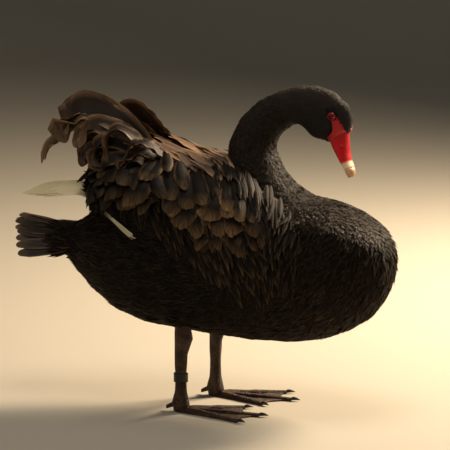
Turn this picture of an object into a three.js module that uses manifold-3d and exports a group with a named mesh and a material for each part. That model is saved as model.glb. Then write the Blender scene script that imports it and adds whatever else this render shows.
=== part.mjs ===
// A black swan standing on both feet with its neck arched and its bill pointed at the ground.
// Millimetres, +Z up. The body faces +X, its right side is at -Y, and the soles stand on Z = 0.
import * as THREE from "three";
import { mergeVertices } from "three/addons/utils/BufferGeometryUtils.js";
import Module from "manifold-3d";

const wasm = await Module();
wasm.setup();

// ---- Sizes of the bird ----
const GAP = 0.3; // between pieces that meet face to face
const ORIGIN_SHIFT = [4.5, 0, 0]; // moves the origin below the middle of the whole bird

// Torso: [x, z of the back, z of the widest line, z of the belly, half width]
const TORSO = [
  [-232, 276, 262, 236, 26],
  [-205, 290, 262, 204, 48],
  [-170, 308, 262, 172, 68],
  [-130, 326, 256, 146, 84],
  [-80, 342, 248, 131, 97],
  [-20, 350, 243, 125, 104],
  [40, 352, 240, 119, 107],
  [100, 350, 238, 116, 108],
  [160, 345, 238, 117, 106],
  [210, 336, 240, 127, 99],
  [250, 322, 243, 145, 86],
  [280, 303, 246, 169, 66],
  [298, 283, 246, 200, 44],
  [307, 262, 246, 226, 20],
];
const TORSO_SIDES = 24;

// Neck and head along their middle line: [x, y, z, half depth, half width]
const NECK_LOWER = [
  [180, 0, 258, 76, 74],
  [140, 0, 296, 62, 64],
  [106, 0, 333, 51, 54],
  [87.5, 0, 368, 45, 46],
];
const NECK_MIDDLE = [
  [87.5, 0, 368, 45, 46],
  [80.5, 0, 396, 41.5, 41],
  [79.5, 0, 420, 37.5, 37.5],
];
const NECK_UPPER = [
  [79.5, 0, 420, 37.5, 37.5],
  [90, 0, 446, 34, 33.5],
  [109.5, 0, 467.5, 31, 30.5],
  [136, 0, 482, 29, 27.5],
];
const HEAD = [
  [136, 0, 482, 29, 27.5],
  [155, 1, 487, 30.5, 27],
  [176, -1, 483.5, 36, 27],
  [196, -8.3, 475, 41, 27],
  [209.7, -14.5, 463.5, 40, 25.5],
  [219.3, -17.7, 448.5, 28.5, 20.5],
  [217.2, -16.9, 440.5, 21, 17],
  [215.7, -16.5, 436.5, 12, 11],
];
const NECK_SIDES = 18;

// The head's own axes: the bill points down and a little to the bird's right.
const HEAD_YAW = 19;
const BILL_PITCH = 65;
const BILL_BASE = new THREE.Vector3(241, -25.2, 454.5); // where the culmen leaves the forehead

// Upper bill along its length: [forward, culmen, cutting edge, half width], from BILL_BASE
const UPPER_BILL = [
  [-9, -5, -27, 12],
  [0, -1.6, -28.5, 16.8],
  [10, -6.2, -28.5, 16.8],
  [20, -10.6, -28, 16.2],
  [32, -15.2, -27.5, 15],
  [44, -17.6, -26.8, 13.8],
  [55, -17.2, -26, 12.6],
];
const NAIL = [
  [55.3, -17.2, -25.8, 12.2],
  [60, -16.8, -26.2, 11.2],
  [65, -18, -27.2, 8.6],
  [68.5, -21, -28.4, 4.6],
];
const LOWER_BILL = [
  [-6, -28.8, -36, 11],
  [2, -28.9, -35.4, 14],
  [20, -28.3, -33.8, 14],
  [40, -27.3, -31.6, 12],
  [54, -26.4, -29.4, 9.8],
  [61, -26.8, -28.9, 6.5],
];
const NOSTRIL = { forward: 23, up: -15, side: 11.5, half: [5, 2.1, 3.4] };
const EYE = { forward: -27, up: -6.3, side: 19.5, ball: 6.8, lid: 5.1, rim: 1.1 };
// Bare red skin between the eye and the bill: [forward, up] corners
const LORE = [
  [-22, -0.5],
  [-15, 1],
  [-8, 0.5],
  [2, -1],
  [6, -32],
  [-1, -31],
  [-4, -17.5],
  [-11, -12.5],
  [-21, -10.5],
];

// Legs: [x, z, half length fore and aft, half width] down the leg, at each side's own y
const LEG_RIGHT = { y: -60, shift: 0, turn: 4 };
const LEG_LEFT = { y: 60, shift: 18, turn: -2 };
const THIGH = [
  [-6, 196, 46, 34],
  [-10, 168, 38, 29],
  [-15, 150, 26, 21],
  [-17, 139, 15, 13],
];
const SHANK = [
  [-17, 138.5, 10.5, 8],
  [-16, 128, 12.5, 9.5],
  [-15, 118, 13.5, 10],
  [-17, 107, 11.5, 8.5],
  [-19.5, 92, 9.2, 7],
  [-20, 70, 8.8, 6.6],
  [-20, 48, 9, 6.8],
  [-20, 30, 9.8, 7.6],
  [-20.5, 16, 12, 9.5],
  [-20, 9.3, 12.5, 10],
];
const RING = { z: 55, height: 14, inner: [9.3, 7.1], wall: 2.4 };
const TOES = [
  // [yaw outwards, length, half width at the root]
  [27, 112, 6.2],
  [2, 124, 6.6],
  [-25, 98, 6],
];
const CLAW = { length: 11, radius: 3 };

const looks = {
  feather: new THREE.MeshStandardMaterial({ color: 0x1f1c1b, roughness: 0.75 }),
  white: new THREE.MeshStandardMaterial({ color: 0xe9e0c8, roughness: 0.7 }),
  bill: new THREE.MeshStandardMaterial({ color: 0xc22a33, roughness: 0.35 }),
  nail: new THREE.MeshStandardMaterial({ color: 0xe2b8a4, roughness: 0.4 }),
  eye: new THREE.MeshStandardMaterial({ color: 0x8e1420, roughness: 0.1 }),
  leg: new THREE.MeshStandardMaterial({ color: 0x4a413b, roughness: 0.6 }),
  claw: new THREE.MeshStandardMaterial({ color: 0x1c1917, roughness: 0.4 }),
  ring: new THREE.MeshStandardMaterial({ color: 0x17181a, roughness: 0.35 }),
};

// ---- Solids from closed surfaces ----
const V = (x, y, z) => new THREE.Vector3(x, y, z);

// A closed surface as a solid, turned to face out.
function solid(geometry) {
  const bare = new THREE.BufferGeometry();
  bare.setAttribute("position", geometry.attributes.position.clone());
  if (geometry.index) bare.setIndex(geometry.index.clone());
  const merged = mergeVertices(bare, 1e-4);
  const index = Array.from(merged.index.array);
  const p = merged.attributes.position;
  const a = V(),
    b = V(),
    c = V();
  let volume = 0;
  for (let i = 0; i < index.length; i += 3) {
    a.fromBufferAttribute(p, index[i]);
    b.fromBufferAttribute(p, index[i + 1]);
    c.fromBufferAttribute(p, index[i + 2]);
    volume += a.dot(b.cross(c));
  }
  if (volume < 0)
    for (let i = 0; i < index.length; i += 3)
      [index[i + 1], index[i + 2]] = [index[i + 2], index[i + 1]];
  return new wasm.Manifold(
    new wasm.Mesh({
      numProp: 3,
      vertProperties: Float32Array.from(p.array),
      triVerts: Uint32Array.from(index),
    }),
  );
}

// Rings of equally many points joined into one closed body, capped at both ends. On a thin sheet the second
// half of each ring is the back face, and it is split into triangles along the same diagonals as the front.
function loft(rings, sheet = false) {
  const n = rings[0].length;
  const points = rings.flat();
  const index = [];
  for (let i = 0; i + 1 < rings.length; i++)
    for (let j = 0; j < n; j++) {
      const a = i * n + j,
        b = i * n + ((j + 1) % n),
        c = a + n,
        d = b + n;
      if (sheet && j >= n / 2) index.push(a, c, d, a, d, b);
      else index.push(a, c, b, b, c, d);
    }
  for (const [first, flip] of [
    [0, false],
    [(rings.length - 1) * n, true],
  ]) {
    if (sheet) {
      // The caps of a sheet join each front point to the back point behind it.
      for (let j = 0; j < n / 2 - 1; j++) {
        const a = first + j,
          b = first + j + 1,
          c = first + n - 1 - j,
          d = first + n - 2 - j;
        if (flip) index.push(a, c, b, b, c, d);
        else index.push(a, b, c, b, d, c);
      }
      continue;
    }
    const middle = V(0, 0, 0);
    for (let j = 0; j < n; j++) middle.add(points[first + j]);
    points.push(middle.divideScalar(n));
    const m = points.length - 1;
    for (let j = 0; j < n; j++) {
      const a = first + j,
        b = first + ((j + 1) % n);
      if (flip) index.push(a, m, b);
      else index.push(a, b, m);
    }
  }
  const geometry = new THREE.BufferGeometry().setFromPoints(points);
  geometry.setIndex(index);
  return solid(geometry);
}

const join = (list) => list.reduce((whole, piece) => whole.add(piece));

// The largest closed surface of a solid.
function largest(made) {
  const bodies = made.decompose();
  return bodies.reduce((a, b) => (b.volume() > a.volume() ? b : a));
}

// A repeatable draw between -1 and 1 for the small differences between feathers.
let draw = 7;
function vary() {
  draw = (draw * 16807) % 2147483647;
  return (draw / 2147483647) * 2 - 1;
}

// ---- Body forms ----
function torsoRing([x, top, mid, bottom, half], grow) {
  const ring = [];
  for (let j = 0; j < TORSO_SIDES; j++) {
    const a = (j / TORSO_SIDES) * 2 * Math.PI;
    const up = Math.cos(a),
      out = Math.sin(a);
    const height = up > 0 ? top - mid : mid - bottom;
    const fullness = 1 + 0.06 * Math.sin(2 * a) ** 2;
    ring.push(
      V(
        x,
        out * (half * fullness + grow),
        mid + up * (height * fullness + grow),
      ),
    );
  }
  return ring;
}

function torsoForm(grow) {
  const rows = TORSO.map((r) => [...r]);
  rows[0][0] -= grow;
  rows[rows.length - 1][0] += grow;
  return loft(rows.map((r) => torsoRing(r, grow)));
}

const headTurn = THREE.MathUtils.degToRad(HEAD_YAW);
const billTurn = THREE.MathUtils.degToRad(BILL_PITCH);
const heading = V(Math.cos(headTurn), -Math.sin(headTurn), 0);
const headLeft = V(Math.sin(headTurn), Math.cos(headTurn), 0);
const billAxis = heading
  .clone()
  .multiplyScalar(Math.cos(billTurn))
  .add(V(0, 0, -Math.sin(billTurn)));
const headUp = heading
  .clone()
  .multiplyScalar(Math.sin(billTurn))
  .add(V(0, 0, Math.cos(billTurn)));

// A point in the head's own axes: forward along the bill, up to the crown, out to one side (+1 left, -1 right).
function headPoint(forward, up, out, side = 1) {
  return BILL_BASE.clone()
    .addScaledVector(billAxis, forward)
    .addScaledVector(headUp, up)
    .addScaledVector(headLeft, out * side);
}

// A tube of oval sections along a bent line. turnAt says how far each station's side leans to the head's.
function bentForm(rows, grow, ends, turned) {
  const line = rows.map((r) => V(r[0], r[1], r[2]));
  const rings = rows.map((row, i) => {
    const before = line[Math.max(i - 1, 0)],
      after = line[Math.min(i + 1, line.length - 1)];
    let along = after.clone().sub(before).normalize();
    if (ends && i === 0) along = ends[0];
    if (ends && i === rows.length - 1) along = ends[1];
    const left = V(0, 1, 0).lerp(headLeft, turned ? turned[i] : 0);
    left.addScaledVector(along, -left.dot(along)).normalize();
    const up = along.clone().cross(left);
    const centre = line[i].clone();
    if (i === 0) centre.addScaledVector(along, -grow + GAP / 2);
    if (i === rows.length - 1) centre.addScaledVector(along, grow - GAP / 2);
    const ring = [];
    for (let j = 0; j < NECK_SIDES; j++) {
      const a = (j / NECK_SIDES) * 2 * Math.PI;
      ring.push(
        centre
          .clone()
          .addScaledVector(up, Math.cos(a) * (row[3] + grow))
          .addScaledVector(left, Math.sin(a) * (row[4] + grow)),
      );
    }
    return ring;
  });
  return loft(rings);
}

const direction = (a, b) =>
  V(b[0] - a[0], b[1] - a[1], b[2] - a[2]).normalize();
const jointLower = direction(NECK_LOWER[2], NECK_MIDDLE[1]);
const jointMiddle = direction(NECK_MIDDLE[1], NECK_UPPER[1]);
const jointUpper = direction(NECK_UPPER[2], HEAD[1]);
const neckLowerForm = (g) =>
  bentForm(NECK_LOWER, g, [
    direction(NECK_LOWER[0], NECK_LOWER[1]),
    jointLower,
  ]);
const neckMiddleForm = (g) =>
  bentForm(NECK_MIDDLE, g, [jointLower, jointMiddle]);
const neckUpperForm = (g) => bentForm(NECK_UPPER, g, [jointMiddle, jointUpper]);
const headForm = (g) =>
  bentForm(
    HEAD,
    g,
    [jointUpper, billAxis],
    [0, 0.2, 0.6, 1, 1, 1, 1, 1],
  );

// A half-round section of the bill: flat along the cutting edge and domed towards the other face.
function billForm(rows, grow, domeUp) {
  const steps = 10;
  return loft(
    rows.map(([forward, top, bottom, half], k) => {
      const push = k === 0 ? -grow : k === rows.length - 1 ? grow : 0;
      const flat = domeUp ? bottom - grow : top + grow;
      const crown = domeUp ? top + grow : bottom - grow;
      const ring = [];
      for (let j = 0; j <= steps; j++) {
        const a = (j / steps) * Math.PI;
        const rise = Math.sin(a) ** 0.8;
        ring.push(
          headPoint(
            forward + push,
            flat + (crown - flat) * rise,
            (half + grow) * Math.cos(a),
          ),
        );
      }
      for (let j = 1; j < 4; j++)
        ring.push(
          headPoint(forward + push, flat, (half + grow) * (-1 + j / 2)),
        );
      return ring;
    }),
  );
}

// Prism through one side of the head over the bare skin's outline.
function lorePrism(side, grow) {
  const flat = LORE.map(([f, u]) => new THREE.Vector2(f, u));
  const corners = flat.map((c, i) => {
    const before = c.clone().sub(flat[(i + 8) % 9]).normalize(),
      after = flat[(i + 1) % 9].clone().sub(c).normalize();
    // The outline runs clockwise, so its outer side is on the left of each edge.
    const out = V(-before.y - after.y, before.x + after.x, 0).normalize();
    const reach = grow / Math.max(-before.y * out.x + before.x * out.y, 0.4);
    return [c.x + out.x * reach, c.y + out.y * reach];
  });
  return loft(
    [6, 45].map((out) => corners.map(([f, u]) => headPoint(f, u, out, side))),
  );
}

function ball(centre, radius, [sx, sy, sz] = [1, 1, 1], detail = 13) {
  const g = new THREE.SphereGeometry(radius, detail, Math.round(detail * 0.7));
  g.scale(sx, sy, sz);
  const basis = new THREE.Matrix4().makeBasis(billAxis, headLeft, headUp);
  g.applyMatrix4(basis);
  g.translate(centre.x, centre.y, centre.z);
  return solid(g);
}

function lidRing(side, grow) {
  const g = new THREE.TorusGeometry(EYE.lid, EYE.rim + grow, 5, 13);
  const centre = headPoint(EYE.forward, EYE.up, EYE.side, side);
  const out = headLeft.clone().multiplyScalar(side);
  out.addScaledVector(billAxis, 0.22).addScaledVector(headUp, 0.12).normalize();
  g.applyQuaternion(new THREE.Quaternion().setFromUnitVectors(V(0, 0, 1), out));
  centre.addScaledVector(out, Math.sqrt(EYE.ball ** 2 - EYE.lid ** 2));
  g.translate(centre.x, centre.y, centre.z);
  return solid(g);
}

// ---- Feathers ----
// A vane is a thin blade along a curved spine, with a raised middle and a rounded tip.
// spine: points from root to tip; side: its lateral direction; half: its half width.
function vane(
  spine,
  side,
  half,
  { thick = 1.2, camber = 0.12, tip = 0.3, stations = 5, flat = false } = {},
) {
  const path = new THREE.CatmullRomCurve3(spine, false, "centripetal");
  const rings = [];
  for (let i = 0; i < stations; i++) {
    const t = i / (stations - 1);
    const at = path.getPointAt(t);
    const along = path.getTangentAt(t);
    const left = side.clone().addScaledVector(along, -side.dot(along));
    left.normalize();
    const up = along.clone().cross(left);
    const width =
      half *
      (i === 0
        ? 0.45
        : i === stations - 1
          ? tip
          : THREE.MathUtils.lerp(1, 0.92, t));
    const h = Math.max(thick * (1 - 0.5 * t), 0.5) / 2;
    const edge = Math.max(h * 0.6, 0.25);
    const drop = camber * width;
    const place = (x, z) =>
      at.clone().addScaledVector(left, x).addScaledVector(up, z);
    rings.push(
      flat
        ? [
            place(-width, h),
            place(width, h),
            place(width, -h),
            place(-width, -h),
          ]
        : [
            place(-width, edge - drop),
            place(0, h),
            place(width, edge - drop),
            place(width, -edge - drop),
            place(0, -h),
            place(-width, -edge - drop),
          ],
    );
  }
  return loft(rings, true);
}

// Wing outer face: rows from the wrist to the rear, [ridge x, y, z, lower edge x, y, z, bulge, height of the bulge]
// for the right wing; the left one is its mirror image.
const WING = [
  [226, -72, 262, 226, -86, 232, 10, 0.5],
  [190, -74, 296, 180, -98, 206, 26, 0.5],
  [140, -66, 336, 122, -106, 196, 34, 0.55],
  [82, -58, 379, 52, -104, 200, 40, 0.6],
  [22, -52, 394, 0, -98, 224, 42, 0.62],
  [-45, -46, 414, -60, -88, 282, 38, 0.6],
  [-112, -40, 408, -118, -76, 318, 24, 0.55],
  [-168, -32, 384, -176, -56, 336, 10, 0.5],
];
const WING_STEPS = 7;

// Point of the wing's outer face: s from the wrist (0) to the rear (1), t from the ridge (0) to the lower edge (1).
function wingPoint(s, t, side, lift = 0) {
  const at = THREE.MathUtils.clamp(s, 0, 1) * (WING.length - 1);
  const i = Math.min(Math.floor(at), WING.length - 2);
  const row = WING[i].map((v, k) =>
    THREE.MathUtils.lerp(v, WING[i + 1][k], at - i),
  );
  const ridge = V(row[0], row[1], row[2]),
    low = V(row[3], row[4], row[5]);
  const control = V(
    (row[0] + row[3]) / 2,
    (row[1] + row[4]) / 2 - row[6] * 1.5,
    row[5] + (row[2] - row[5]) * (row[7] + 0.15),
  );
  const u = 1 - t;
  const p = ridge
    .multiplyScalar(u * u)
    .addScaledVector(control, 2 * u * t)
    .addScaledVector(low, t * t);
  if (lift) {
    const ps = wingPoint(s + 0.02, t, -1),
      pt = wingPoint(s, t + 0.03, -1),
      p0 = wingPoint(s, t, -1);
    const n = ps.sub(p0).cross(pt.sub(p0)).normalize();
    if (n.y > 0) n.negate();
    p.addScaledVector(n, lift);
  }
  if (side > 0) p.y = -p.y;
  return p;
}

function wingCore(side, grow) {
  const rings = [];
  const n = (WING.length - 1) * 2;
  for (let i = 0; i <= n; i++) {
    const s = i / n;
    const outer = [],
      inner = [];
    for (let j = 0; j <= WING_STEPS; j++) {
      const t = j / WING_STEPS;
      outer.push(wingPoint(s, t, -1, grow + 0.001));
      const depth = 5 + 16 * Math.sin(Math.PI * t) + grow;
      inner.push(wingPoint(s, t, -1, -depth));
    }
    const ring = [...outer, ...inner.reverse()];
    if (side > 0) for (const p of ring) p.y = -p.y;
    rings.push(ring);
  }
  return loft(rings);
}

// Curled inner wing feathers of one side: half width, how far the blade stands on edge, and points down the
// spine at a positive y, which is turned to the feather's own side.
const CURLS = {
  right: [
    [22, 0.8, [[-62, 44, 404], [-110, 44, 446], [-150, 42, 470], [-186, 40, 479], [-212, 38, 466], [-224, 38, 444], [-214, 40, 424]]],
    [15, 0.7, [[-64, 50, 404], [-120, 50, 440], [-155, 50, 449], [-178, 51, 441], [-187, 53, 416]]],
    [11, 0.35, [[-60, 58, 402], [-100, 62, 436], [-122, 66, 447], [-135, 70, 434], [-137, 72, 408], [-129, 68, 390]]],
    [12, 0.6, [[-62, 54, 398], [-120, 60, 422], [-148, 64, 424], [-161, 66, 408], [-156, 68, 390], [-143, 70, 382]]],
    [9, 0.3, [[-40, 58, 398], [-64, 74, 423], [-88, 80, 426], [-100, 84, 412]]],
    [9, 0.35, [[-44, 62, 392], [-74, 80, 412], [-92, 85, 405], [-105, 88, 394], [-97, 90, 384]]],
    [10, 0.75, [[-84, 36, 414], [-150, 34, 446], [-195, 32, 450], [-222, 31, 438], [-242, 30, 420], [-254, 30, 404], [-264, 30, 386]]],
    [8, 0.3, [[-60, 62, 388], [-84, 84, 398], [-104, 88, 388], [-118, 88, 378]]],
    [11, 0.7, [[-84, 56, 394], [-126, 70, 400], [-142, 75, 378], [-136, 78, 356]]],
    [13, 0.75, [[-80, 48, 396], [-136, 52, 416], [-172, 54, 408], [-184, 56, 388]]],
  ],
  left: [
    [18, 0.75, [[-54, 44, 400], [-86, 40, 428], [-108, 38, 452], [-130, 37, 464], [-151, 37, 456], [-162, 39, 438]]],
    [15, 0.7, [[-60, 46, 402], [-92, 46, 422], [-118, 46, 434], [-143, 46, 436], [-160, 48, 424]]],
    [20, 0.8, [[-70, 42, 402], [-132, 40, 432], [-170, 38, 444], [-196, 36, 446], [-214, 36, 432], [-220, 38, 410]]],
    [13, 0.6, [[-62, 54, 398], [-128, 56, 412], [-154, 60, 410], [-165, 62, 396], [-156, 66, 380]]],
    [10, 0.35, [[-40, 58, 394], [-70, 74, 414], [-92, 80, 412], [-102, 84, 400]]],
    [9, 0.35, [[-60, 62, 384], [-82, 84, 394], [-104, 88, 384], [-116, 90, 372]]],
    [11, 0.7, [[-84, 56, 392], [-128, 69, 396], [-144, 75, 374], [-138, 78, 352]]],
  ],
};

function curlForms(list, side) {
  const root = ball(V(-62, side * 50, 400), 11, [1.8, 1, 1], 10);
  const made = list.map(([half, edge, at]) =>
    vane(
      at.map(([x, y, z]) => V(x, y * side, z)),
      V(0, -side * (1 - edge), edge),
      half,
      { stations: at.length + 1, camber: 0.08, tip: 0.35, thick: 1.6 },
    ),
  );
  return { all: join([root, ...made]), root };
}

// A row of feathers over the wing: how many, from s to s, root and tip rows t, drift of the tips along the
// wing, half width and ragged tips.
const WING_ROWS = [
  { count: 7, s: [0.36, 0.94], t: [-0.02, 0.27], drift: 0.015, half: 20, ragged: 0.02 },
  { count: 7, s: [0.3, 0.9], t: [0.17, 0.5], drift: -0.01, half: 19, ragged: 0.03 },
  { count: 7, s: [0.3, 0.88], t: [0.38, 0.74], drift: -0.05, half: 16, ragged: 0.04 },
  { count: 7, s: [0.28, 0.86], t: [0.6, 1.02], drift: -0.07, half: 15, ragged: 0.07 },
];

function wingFeathers(side, grow = 0) {
  const made = [];
  draw = 7;
  WING_ROWS.forEach(({ count, s, t, drift, half, ragged }, row) => {
    for (let k = 0; k < count; k++) {
      const at = THREE.MathUtils.lerp(s[0], s[1], (k + 0.15 * vary()) / (count - 1));
      const tip = t[1] + ragged * vary();
      const spine = [0, 0.4, 0.75, 1].map((f, i) =>
        wingPoint(
          at + drift * f,
          THREE.MathUtils.lerp(t[0], tip, f),
          side,
          [-3.5, 1 + (k % 2) * 1.6, 2 + (k % 2) * 1.8, 2.4 + (k % 2) * 2][i],
        ),
      );
      const along = spine[3].clone().sub(spine[0]);
      const across = wingPoint(at + 0.05, (t[0] + tip) / 2, side)
        .sub(wingPoint(at - 0.05, (t[0] + tip) / 2, side))
        .addScaledVector(along, 0.1 * vary());
      made.push(
        vane(spine, across.normalize(), half + grow, {
          stations: 4,
          thick: 1.1 + 2 * grow,
          tip: row < 2 ? 0.55 : 0.3,
          flat: true,
        }),
      );
    }
  });
  return made;
}

// ---- Tail ----
// A tail feather lies on the arch of the tail: f from -1 (right edge) to 1 (left edge).
function tailPoint(f, x, drop, lift) {
  const far = (-x - 172) / 144;
  return V(
    x + 24 * far * f * f,
    f * THREE.MathUtils.lerp(26, 70, far),
    THREE.MathUtils.lerp(266, 291, far) -
      f * f * THREE.MathUtils.lerp(14, 55, far) +
      lift -
      drop,
  );
}

function tailVane(f, root, tip, height, half) {
  const spine = [0, 0.35, 0.7, 1].map((u) =>
    tailPoint(f, THREE.MathUtils.lerp(root, tip, u), 0, height * (1 - 0.7 * u)),
  );
  const across = tailPoint(f + 0.1, tip, 0, 0).sub(tailPoint(f - 0.1, tip, 0, 0));
  return vane(spine, across.normalize(), half, {
    stations: 4,
    thick: 1.4,
    tip: 0.5,
    flat: true,
  });
}

function tailCore(grow) {
  const rings = [];
  for (const [x, thick] of [
    [-172, 34],
    [-205, 24],
    [-240, 12],
    [-262, 4],
  ]) {
    const top = [],
      under = [];
    for (let j = 0; j <= 8; j++) {
      const f = (j / 4 - 1) * 1.02;
      top.push(tailPoint(f, x, 0, thick / 2 + grow));
      under.push(tailPoint(f, x, 0, -thick / 2 - grow));
    }
    rings.push([...top, ...under.reverse()]);
  }
  return loft(rings, true);
}

function tailForm() {
  const made = [tailCore(0)];
  for (let k = 0; k < 11; k++) {
    const f = (k / 5 - 1) * 0.97;
    made.push(tailVane(f, -226, -316, 1 + (k % 2) * 1.8, 10));
  }
  for (const [height, count, tip] of [
    [9, 4, -268],
    [-9, 4, -258],
  ])
    for (let k = 0; k < count; k++) {
      const f = (k / (count - 1)) * 1.5 - 0.75;
      made.push(tailVane(f, -190, tip + 5 * vary(), height, 14));
    }
  return join(made);
}

// ---- Flight feathers ----
// White primaries crossed over the tail, and white secondaries that show under the wing's lower edge.
function primaryForms(side) {
  return join(
    [
      [296, 333, 38, 11],
      [282, 326, 44, 10],
      [252, 320, 51, 10],
    ].map(([reach, tip, y, half], k) =>
      vane(
        [
          V(-108, side * 52, 338 - 3 * k),
          V(-172, side * (46 + 2 * k), 346 - 5 * k),
          V(-0.8 * reach, side * y, 347 - 6 * k),
          V(-reach, side * y, tip),
        ],
        V(0, -side * 0.35, 1),
        half,
        { stations: 6, thick: 1.8, camber: 0.12 },
      ),
    ),
  );
}

function secondaryForms(side) {
  return join(
    [0, 1].map((k) =>
      vane(
        [
          V(-8 - 10 * k, side * 84, 252 + 12 * k),
          V(-60 - 10 * k, side * (91 - 2 * k), 268 + 14 * k),
          V(-132 - 8 * k, side * (82 - 3 * k), 320 + 9 * k),
        ],
        V(0.4, -side * 0.4, 1),
        8,
        { stations: 5, thick: 1.6, camber: 0.1 },
      ),
    ),
  );
}

// ---- Legs ----
function ovalForm(rows, y, grow, sides = 12) {
  return loft(
    rows.map(([x, z, long, wide], k) => {
      const push = k === 0 ? grow : k === rows.length - 1 ? -grow : 0;
      const ring = [];
      for (let j = 0; j < sides; j++) {
        const a = (j / sides) * 2 * Math.PI;
        ring.push(
          V(
            x + Math.cos(a) * (long + grow),
            y + Math.sin(a) * (wide + grow),
            z + push,
          ),
        );
      }
      return ring;
    }),
  );
}

const shifted = (rows, dx) => rows.map((r) => [r[0] + dx, ...r.slice(1)]);

// Where a toe runs: from the ankle forward, out by its own angle.
function toeEnds({ y, shift, turn }, [yaw, length]) {
  const side = Math.sign(y);
  const a = THREE.MathUtils.degToRad(yaw * side + turn);
  const root = V(-12 + shift, y, 0);
  return [root, root.clone().add(V(Math.cos(a) * length, Math.sin(a) * length, 0)), a];
}

function toeForm(leg, toe, grow) {
  const [root, end] = toeEnds(leg, toe);
  const along = end.clone().sub(root);
  const across = V(-along.y, along.x, 0).normalize();
  const rows = [
    [-0.06, 1.1, 9],
    [0.14, 1.05, 10],
    [0.42, 0.85, 8],
    [0.52, 0.98, 8.4],
    [0.76, 0.74, 6.6],
    [0.96, 0.66, 5.6],
  ];
  return loft(
    rows.map(([t, w, h]) => {
      const c = root.clone().addScaledVector(along, t);
      const ring = [];
      for (let j = 0; j < 8; j++) {
        const a = (j / 8) * 2 * Math.PI;
        ring.push(
          c
            .clone()
            .addScaledVector(across, Math.cos(a) * (toe[2] * w + grow))
            .add(V(0, 0, h * 0.42 + Math.sin(a) * (h * 0.58 + grow))),
        );
      }
      return ring;
    }),
  );
}

function footForm(leg) {
  const outline = [];
  const sole = toeEnds(leg, TOES[0])[0];
  const tips = TOES.map((t) => toeEnds(leg, t));
  outline.push(V(sole.x - 12, sole.y - 8, 0), V(sole.x - 12, sole.y + 8, 0));
  const order = leg.y < 0 ? [2, 1, 0] : [0, 1, 2];
  order.forEach((k, i) => {
    const [root, end] = tips[k];
    outline.push(root.clone().lerp(end, 0.93));
    if (i < 2) {
      const next = tips[order[i + 1]];
      const middle = end.clone().lerp(next[1], 0.5);
      outline.push(root.clone().lerp(middle, 0.84));
    }
  });
  const web = loft([
    outline.map((p) => V(p.x, p.y, 0)),
    outline.map((p) => V(p.x, p.y, 2.6)),
  ]);
  const heel = ovalForm(
    [
      [-20 + leg.shift, 9, 12.5, 10],
      [-19 + leg.shift, 4, 13.5, 10.5],
      [-18 + leg.shift, 0, 12, 9],
    ],
    leg.y,
    0,
  );
  const hallux = loft(
    [
      [-26, 13, 4.6],
      [-36, 9.5, 3.8],
      [-44, 6, 3],
    ].map(([x, z, r]) =>
      Array.from({ length: 8 }, (_, j) => {
        const a = (j / 8) * 2 * Math.PI;
        return V(x + leg.shift, leg.y + Math.cos(a) * r, z + Math.sin(a) * r);
      }),
    ),
  );
  const all = join([web, heel, hallux, ...TOES.map((t) => toeForm(leg, t, 0))]);
  const under = new THREE.BoxGeometry(400, 400, 40).translate(
    leg.shift,
    leg.y,
    -20,
  );
  return all.subtract(solid(under));
}

function clawForm(root, along, grow) {
  const across = V(-along.y, along.x, 0).normalize();
  return loft(
    [
      [-2.5, 1, 0.6],
      [2, 0.95, 0.8],
      [CLAW.length * 0.6, 0.6, 0.4],
      [CLAW.length, 0.16, -0.8],
    ].map(([d, w, rise]) =>
      Array.from({ length: 8 }, (_, j) => {
        const a = (j / 8) * 2 * Math.PI;
        return root
          .clone()
          .addScaledVector(along, d)
          .addScaledVector(across, Math.cos(a) * (CLAW.radius * w + grow))
          .add(
            V(0, 0, 3.6 + rise + Math.sin(a) * (CLAW.radius * w * 0.9 + grow)),
          );
      }),
    ),
  );
}

// ---- Pieces ----
const pieces = {};
const put = (name, made, look) => {
  pieces[name] = { made: largest(made), look };
};

const legs = { right: LEG_RIGHT, left: LEG_LEFT };
let torso = torsoForm(0)
  .subtract(neckLowerForm(GAP))
  .subtract(neckMiddleForm(GAP));
for (const leg of [LEG_RIGHT, LEG_LEFT])
  torso = torso
    .subtract(ovalForm(shifted(THIGH, leg.shift), leg.y, GAP))
    .subtract(ovalForm(shifted(SHANK, leg.shift), leg.y, GAP));
put("torso", torso, looks.feather);
put("tail", tailForm().subtract(torsoForm(GAP)), looks.feather);

put("neck_lower", neckLowerForm(0), looks.feather);
put("neck_middle", neckMiddleForm(0), looks.feather);
put("neck_upper", neckUpperForm(0), looks.feather);

let head = headForm(0);
const upperBill = billForm(UPPER_BILL, 0, true);
const lowerBill = billForm(LOWER_BILL, 0, false);
const headMinusBill = [
  billForm(UPPER_BILL, GAP, true),
  billForm(LOWER_BILL, GAP, false),
];
for (const cut of headMinusBill) head = head.subtract(cut);
for (const [name, side] of [
  ["right", -1],
  ["left", 1],
]) {
  const centre = headPoint(EYE.forward, EYE.up, EYE.side, side);
  const lid = lidRing(side, 0).subtract(ball(centre, EYE.ball + GAP));
  let lore = lorePrism(side, 0)
    .intersect(headForm(0.8))
    .subtract(headForm(-1.6))
    .subtract(lidRing(side, GAP))
    .subtract(ball(centre, EYE.ball + GAP));
  for (const cut of headMinusBill) lore = lore.subtract(cut);
  head = head
    .subtract(
      lorePrism(side, 0.6).intersect(headForm(4)).subtract(headForm(-1.9)),
    )
    .subtract(ball(centre, EYE.ball + GAP))
    .subtract(lidRing(side, GAP));
  put("eye_" + name, ball(centre, EYE.ball, [1, 1, 1], 14), looks.eye);
  put("eyelid_" + name, lid, looks.bill);
  put("bare_skin_" + name, lore, looks.bill);
}
put("head", head, looks.feather);
let upper = upperBill;
for (const side of [1, -1]) {
  const { forward, up, side: out, half } = NOSTRIL;
  upper = upper.subtract(
    ball(headPoint(forward, up, out, side), 1, [half[0], half[2], half[1]], 12),
  );
}
put("bill_upper", upper, looks.bill);
put("bill_nail", billForm(NAIL, 0, true), looks.nail);
put("bill_lower", lowerBill, looks.bill);

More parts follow.
